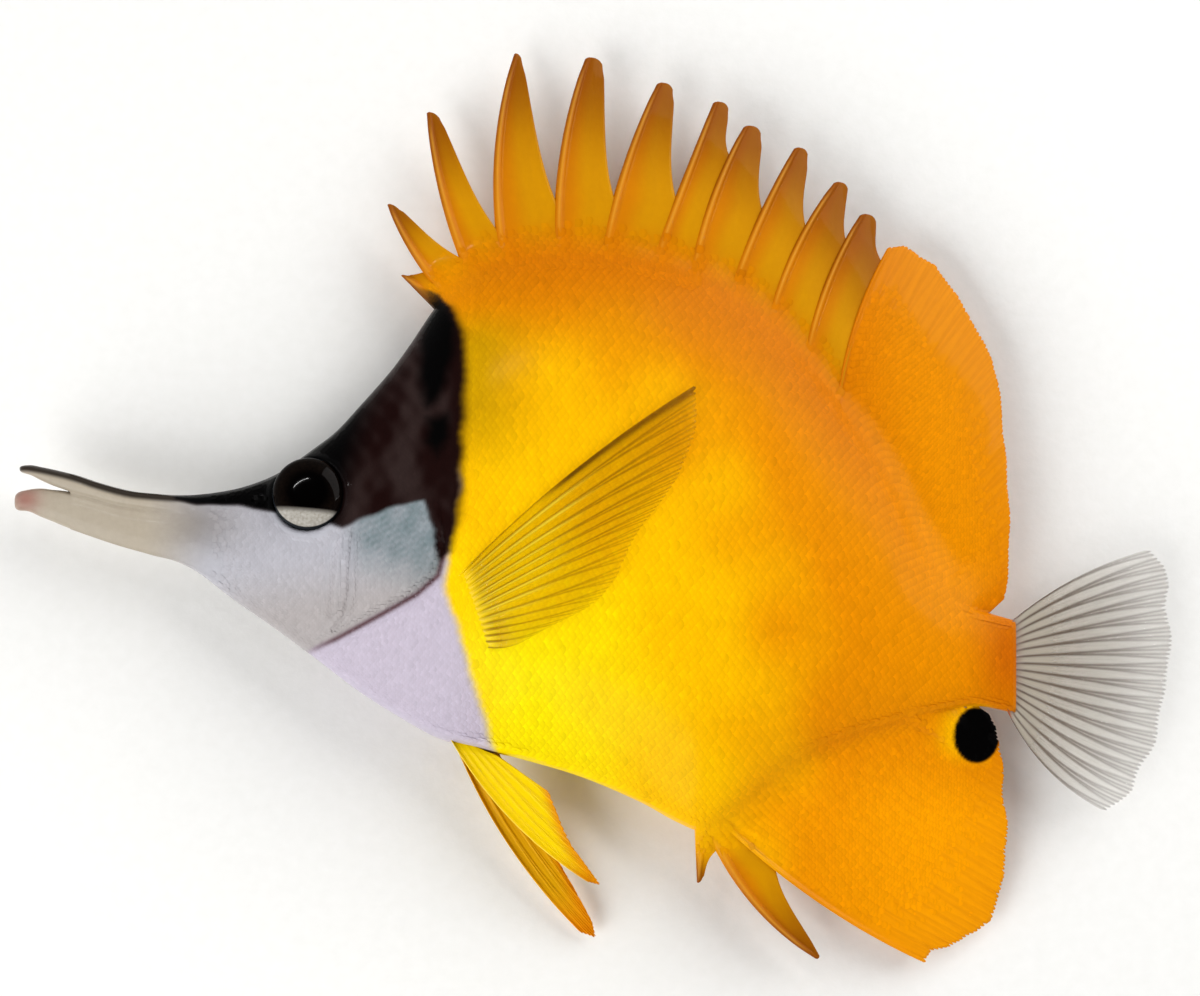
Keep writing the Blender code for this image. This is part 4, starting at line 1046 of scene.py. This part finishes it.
# The side fins
# One thin fan on each flank, see-through and yellow, with a dark first ray. The left one arches over the
# flank, and the right one is pressed flat under the body.
SIDE_RAYS = 15
SIDE_BOWS = (1.1, -0.5)
SIDE_ARCH = 0.9
SIDE_BASE = (252, 218, 6)
SIDE_WEB = (220, 170, 0)
SIDE_RAY = (132, 88, 0)
SIDE_GLEAM = (255, 236, 80)
SIDE_DARK = (84, 42, 0)

side_finish = make_web_finish("yellow_web", 0.2, 0.52, (0.9, 0.84, 0.6, 1.0))


def make_side_fin(name, side):
    fan = Fan(
        spread(SIDE_ROOT, SIDE_RAYS), spread(SIDE_MARGIN, SIDE_RAYS), np.linspace(*SIDE_BOWS, SIDE_RAYS),
        sunk=0.5, ray_half=(0.2, 0.1), ridge=0.12, forks=(0.3, 0.6), ragged=0.45, steps=20,
    )
    u, v = fan.grid(64)
    place, distance = fan.place(u, v)
    half = fan.half(u, v, web=0.07, edge=0.03)
    half = half + (0.35 - half) * np.clip(1 - distance / 2.5, 0, 1) ** 2
    half = half + 0.16 * bell(u - 0.1, 0.2) * (1 - 0.6 * np.clip(v, 0, 1))
    if side > 0:
        length = np.linalg.norm(fan.tips[0] - fan.roots[0])
        arch = SIDE_ARCH * np.sin(math.pi * 0.72 * np.clip(distance / length, 0, 1))
        lift = (half + 0.34) * ease(-0.3, 4.5, distance) - 0.5 * ease(2.0, -0.4, distance)
        z = skin_height(place[..., 0], place[..., 1], 1) + lift + arch
    else:
        z = np.maximum(half + 0.03, 0.42)
    ray = fan.ray(u, v)
    tone = lay_paint(markings(place[..., 0], place[..., 1]), SIDE_BASE, 0.85 * ease(-0.5, 3.0, distance))
    tone = lay_paint(tone, SIDE_WEB, ease(0.15, 0.75, v))
    tone = lay_paint(tone, SIDE_RAY, 0.85 * ray * ease(0.0, 0.12, v))
    # Painted highlight: bright lines on the rays near the root, which also make them more opaque
    gleam = bell(u - np.round(u) - 0.14, 0.13) * ease(0.03, 0.12, v)
    gleam = gleam * ease(0.62, 0.35, v + 0.05 * np.sin(u * 5)) * ease(0.5, 1.2, u) * ease(11.5, 8.0, u)
    tone = lay_paint(tone, SIDE_GLEAM, gleam)
    ray = np.maximum(ray, gleam)
    dark = bell(u - 0.15, 0.3) * ease(0.3, 0.5, v)
    tone = lay_paint(tone, SIDE_DARK, dark)
    ray = np.maximum(ray, 1.3 * dark)
    flesh = ease(4.0, 0.0, distance)
    ray = np.maximum(ray, flesh)
    clear = (1.15 - 0.45 * ease(0.2, 1.0, v)) * (1 - 0.4 * ease(2, 12, u) * ease(0.1, 0.5, v)) + 0.7 * flesh
    return add_fin(
        name, "clear_fin", side_finish, place, z, half, paint=tone, ray=ray, clear=clear, ray_number=u,
        distance=distance,
    )


for name, side in (("pectoral_fin_left", 1), ("pectoral_fin_right", -1)):
    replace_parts(make_side_fin("dressed_" + name, side), name)


# The breast fins
# A stiff spine and five soft rays each, hanging side by side from the belly's edge.
BREAST_ROOTS = (-16.6, -11.4)
LEFT_BREAST_TIPS = ((-0.9, -44.0), (0.5, -44.3), (-0.9, -42.4), (-2.8, -39.7), (-4.2, -36.6), (-5.6, -33.2))
RIGHT_BREAST_TIPS = (
    (-1.8, -50.9), (-0.1, -51.4), (-0.6, -49.3), (-2.5, -45.5), (-4.8, -41.4), (-7.2, -36.6),
)
BREAST_BOW = -1.35
BREAST_BOW_SHARES = (1.0, 0.85, 0.5, 0.25, 0.0, 0.0)
BREAST_Z = 0.85
BREAST_LEMON = (255, 224, 0)
BREAST_GOLD = (232, 178, 0)
BREAST_TIP = (240, 150, 0)
BREAST_SPINE = (255, 238, 120)


def make_breast_fin(name, tips, side, fall, colour):
    fan = Fan(
        edge_root(belly, np.linspace(*BREAST_ROOTS, len(tips)), -1), np.array(tips),
        BREAST_BOW * np.array(BREAST_BOW_SHARES), sunk=1.2, ray_half=(0.3, 0.16), ridge=0.16,
        forks=(0.2, 0.5), ragged=0.35, steps=32,
    )
    u, v = fan.grid(64)
    place, distance = fan.place(u, v)
    half = fan.half(u, v, web=0.12, edge=0.05)
    half = half + (0.6 - half) * np.clip(1 - distance / 5, 0, 1) ** 2
    half = half + 0.3 * bell(u - 0.12, 0.14) * (1 - 0.6 * np.clip(v, 0, 1))
    longest = np.linalg.norm(fan.tips - fan.roots[0], axis=1).max()
    z = MIDDLE_Z + side * BREAST_Z - fall * (np.clip(distance, 0, None) / longest) ** 1.2
    tone = lay_paint(np.ones((*u.shape, 4)) * linear(colour), BREAST_TIP, ease(0.7, 1.0, v) * 0.8)
    tone = lay_paint(tone, BREAST_SPINE, 0.6 * bell(u - 0.05, 0.12) * (side > 0))
    return add_fin(
        name, "yellow_fin", fin_finish, place, z, half, paint=tone, ray=fan.ray(u, v), ray_number=u,
        distance=distance,
    )


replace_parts(make_breast_fin("breast_fin_left", LEFT_BREAST_TIPS, 1, 1.2, BREAST_LEMON), "pelvic_fin_left")
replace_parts(make_breast_fin("breast_fin_right", RIGHT_BREAST_TIPS, -1, 5.6, BREAST_GOLD), "pelvic_fin_right")


# The scales
# Thin overlapping plates of horn in oblique rows, each rooted in the skin and free at its rear edge. They
# get smaller towards the head and tail, and run on over the roots of the back fin and the belly fin.
HEAD_STEP, BODY_STEP = 0.27, 0.4  # from one column of scales to the next
SCALE_PITCH = 1.2  # down one column
SCALE_TURN = 0.5  # share of the outline's slope that the rows follow
FIN_REACH = 26.0  # how far beyond the body's edge scales are looked for
EYE_GAP = 0.9  # bare skin round the eye
STEEPEST_FLANK, STEEPEST = 1.9, 1.2  # slopes behind the head and elsewhere, past which no scale lies
MOST_CURL = 0.08  # on a fin, how round the surface under a scale may be
ONE_SHEET = 1.5  # a greater step in height leads to another sheet
PLATE_RISE = 0.025  # every scale's least stand over the skin
PATCH = 0.003  # a scale's width on the unwrap
UNWRAP_HEIGHT = 130  # millimetres of flank that the unwrap's height holds

scale_finish = Finish("wet_scales", Coat_Weight=0.05, Coat_Roughness=0.16, Specular_IOR_Level=0.06)
scale_cloud = scale_finish.noise(0.6, detail=4.0)
rim_shade = 0.38 * scale_finish.read("rim") + 0.2 * scale_cloud
painted = scale_finish.read("paint", "Color")
scale_finish.feed(
    Base_Color=scale_finish.mix(painted, (0.66, 0.54, 0.5, 1.0), rim_shade, "MULTIPLY"),
    Roughness=0.36 + 0.2 * scale_cloud,
    Normal=scale_finish.bump(scale_cloud, 0.02),
)


def plate_shape():
    """One scale at size 1: along, across, height, nearness to its sharp free edge, and faces."""
    b, q = np.meshgrid(np.array([-0.62, -0.36, 0.0, 0.36, 0.62]), np.array([0.0, 0.55, 1.0, 1.0, 1.0]))
    end = 0.54 - 0.34 * (np.abs(b) / 0.62) ** 2.4
    a = -0.7 + (end + 0.7) * q
    height = -0.04 + 0.075 * q + 0.015 * (1 - (b / 0.62) ** 2)
    height[-1] = -0.06
    rim = np.array([0.2, 0.0, 0.8, 0.8, 1.0])[:, None] * np.ones_like(b)
    quads = grid_faces(np.arange(25).reshape(5, 5))
    return a.ravel(), b.ravel(), height.ravel(), rim.ravel(), quads[[0, 1, 3]].reshape(-1, 4)


def lattice():
    """The scales' roots on the side view: columns across the fish, each offset from the last."""
    roots, unwraps, sizes = [], [], []
    x, column = -45.5, 0
    while x < 48.8:
        on_body = ease(-17, -13.5, x)
        pitch = SCALE_PITCH * (0.55 + 0.45 * on_body) * (1 - 0.3 * ease(30, 46, x))
        high, low = float(back(np.array(x))), float(belly(np.array(x)))
        fins = FIN_REACH * ease(-20, -19, x)
        y = np.linspace(high + fins, low - fins, 1600)
        z = flank(np.full_like(y, x), y)
        outside = np.maximum(y - high, low - y)
        arc = np.concatenate([[0], np.cumsum(np.hypot(np.diff(y), np.diff(z)))])
        local = pitch * (1 - 0.35 * ease(-1.0, 7.0, outside))
        count = np.concatenate([[0], np.cumsum(np.diff(arc) / local[1:])])
        widest = np.argmin(np.abs(y - low - WIDEST_LEVEL * (high - low)))
        count, arc = count - count[widest], arc - arc[widest]
        whole = np.arange(math.ceil(count[0]), math.floor(count[-1])) + 0.5 * (column % 2)
        rows = np.interp(whole, count, y)
        roots.append(np.stack([np.full_like(rows, x), rows], -1))
        sizes.append(np.interp(whole, count, local) / SCALE_PITCH)
        across = np.full_like(rows, 0.02 + 0.96 * (x + 50) / 100)
        unwraps.append(np.stack([across, np.interp(whole, count, arc)], -1))
        x += (HEAD_STEP + (BODY_STEP - HEAD_STEP) * on_body) * (1 - 0.15 * ease(30, 46, x))
        column += 1
    return np.concatenate(roots), np.concatenate(unwraps), np.concatenate(sizes)


bed = bmesh.new()
for piece in (skin, back_spines, back_rays, belly_spines, belly_rays):
    bed.from_mesh(piece.data)
bed.faces.ensure_lookup_table()
bed.normal_update()
bed_paint, bed_cover = bed.verts.layers.float_color["paint"], bed.verts.layers.float["cover"]
surface = BVHTree.FromBMesh(bed)


def land(x, y, side):
    """Where a ray straight at the fish meets it, and the face it meets."""
    hit, _, face, _ = surface.ray_cast(Vector((x, y, MIDDLE_Z + side * 40)) * MM, Vector((0, 0, -side)))
    return (None, None) if hit is None else (hit.z / MM, face)


def slope_along(x, y, z, side, dx, dy):
    """The surface's slope at a place, over steps that stay on the same sheet. It is steep at an outline."""
    ahead, behind = land(x + dx, y + dy, side)[0], land(x - dx, y - dy, side)[0]
    if ahead is None or behind is None:
        return 9.0
    ahead = z if abs(ahead - z) > ONE_SHEET else ahead
    behind = z if abs(behind - z) > ONE_SHEET else behind
    return (ahead - behind) / 2 / math.hypot(dx, dy)


def curl(x, y, z, side):
    """How far a place stands above or below the middle of its neighbours, as on a spine's round edge."""
    ends = [land(x + dx, y, side)[0] for dx in (-0.5, 0.5)]
    return 9.0 if None in ends else abs(sum(ends) / 2 - z)


roots, unwraps, sizes = lattice()
draw = np.random.default_rng(7)
roots = roots + draw.normal(0, 0.03, roots.shape)
start = draw.uniform(-46.0, -41.0, len(roots))
chance = draw.uniform(0.02, 0.6, len(roots))
tones = np.clip(1 + 0.03 * draw.standard_normal(len(roots)), 0.85, 1.15)
for name, side in (("left", 1), ("right", -1)):
    landed = {"upper_scales_": [], "lower_scales_": [], "fin_scales_": []}
    for i, (x, y) in enumerate(roots):
        if x < start[i] or math.hypot(x - EYE_CENTRE[0], y - EYE_CENTRE[1]) < EYE_RADIUS + EYE_GAP:
            continue
        z, face = land(x, y, side)
        if z is None:
            continue
        corner = bed.faces[face].verts[0]
        cover = min(1.0, corner[bed_cover])
        slope_x, slope_y = slope_along(x, y, z, side, 0.4, 0), slope_along(x, y, z, side, 0, 0.4)
        inside = belly(x) + JOIN < y < back(x) - JOIN
        steepest = STEEPEST_FLANK if inside and x > -16 else STEEPEST
        if cover < chance[i] or math.hypot(slope_x, slope_y) > steepest:
            continue
        if not inside and curl(x, y, z, side) > MOST_CURL:
            continue
        normal = (-slope_x * side, -slope_y * side, side)
        part = ("upper_scales_" if y > 0 else "lower_scales_") if inside else "fin_scales_"
        landed[part].append(
            (x, y, z, *normal, sizes[i], *corner[bed_paint], *unwraps[i], tones[i], cover, *(corner.co / MM))
        )
    for prefix, plates in landed.items():
        at, normal, size, paint, unwrap, tone, cover, corner = np.split(
            np.array(plates), (3, 6, 7, 11, 13, 14, 15), axis=1
        )
        size, cover = size[:, 0], cover[:, 0]
        x, y = at[:, 0], at[:, 1]
        normal = normal / np.linalg.norm(normal, axis=1, keepdims=True)
        up = np.clip((y - belly(x)) / (back(x) - belly(x)), 0, 1)
        slope = up * (back(x + 1) - back(x - 1)) / 2 + (1 - up) * (belly(x + 1) - belly(x - 1)) / 2
        tail = np.stack([np.ones_like(x), SCALE_TURN * slope, np.zeros_like(x)], -1)
        tail -= normal * (tail * normal).sum(1, keepdims=True)
        tail /= np.linalg.norm(tail, axis=1, keepdims=True)
        cross = np.cross(normal, tail)
        a, b, height, rim, quads = plate_shape()
        relief = size * cover * (0.2 + 0.6 * ease(-18, -14, x)) * (0.7 if prefix == "fin_scales_" else 1)
        rise = relief[:, None] * height + PLATE_RISE * cover[:, None]
        points = at[:, None] + normal[:, None] * rise[..., None] + size[:, None, None] * (
            tail[:, None] * a[None, :, None] + cross[:, None] * b[None, :, None]
        )
        points[..., 2] = np.maximum(points[..., 2], 0.01)
        faces = (quads[None] + np.arange(len(at))[:, None, None] * len(a)).reshape(-1, 4)
        shade = markings(points[..., 0], points[..., 1])
        if prefix == "fin_scales_":
            shade = shade + (paint - markings(corner[:, 0], corner[:, 1]))[:, None]
            shade[..., :3] *= 1 - (1 - cover)[:, None, None] * np.array([0.06, 0.09, 0.1])
        shade[..., :3] *= tone[:, None]
        coat = add_mesh(
            prefix + name, points.reshape(-1, 3), faces, scale_finish,
            paint=np.clip(shade, 0, 1).reshape(-1, 4),
            rim=(rim[None] * (0.4 + 0.6 * ease(-18, -14, x))[:, None]).ravel(),
        )
        flat = np.stack([unwrap[:, 0], 0.5 - unwrap[:, 1] / UNWRAP_HEIGHT], -1)
        patch = np.stack([a, b], -1) / 1.4 * PATCH
        places = (flat[:, None] + patch[None]).reshape(-1, 2)[faces.ravel()]
        layer = coat.data.uv_layers.new(name="OFBake")
        layer.data.foreach_set("uv", places.astype(np.float32).ravel())
bed.free()
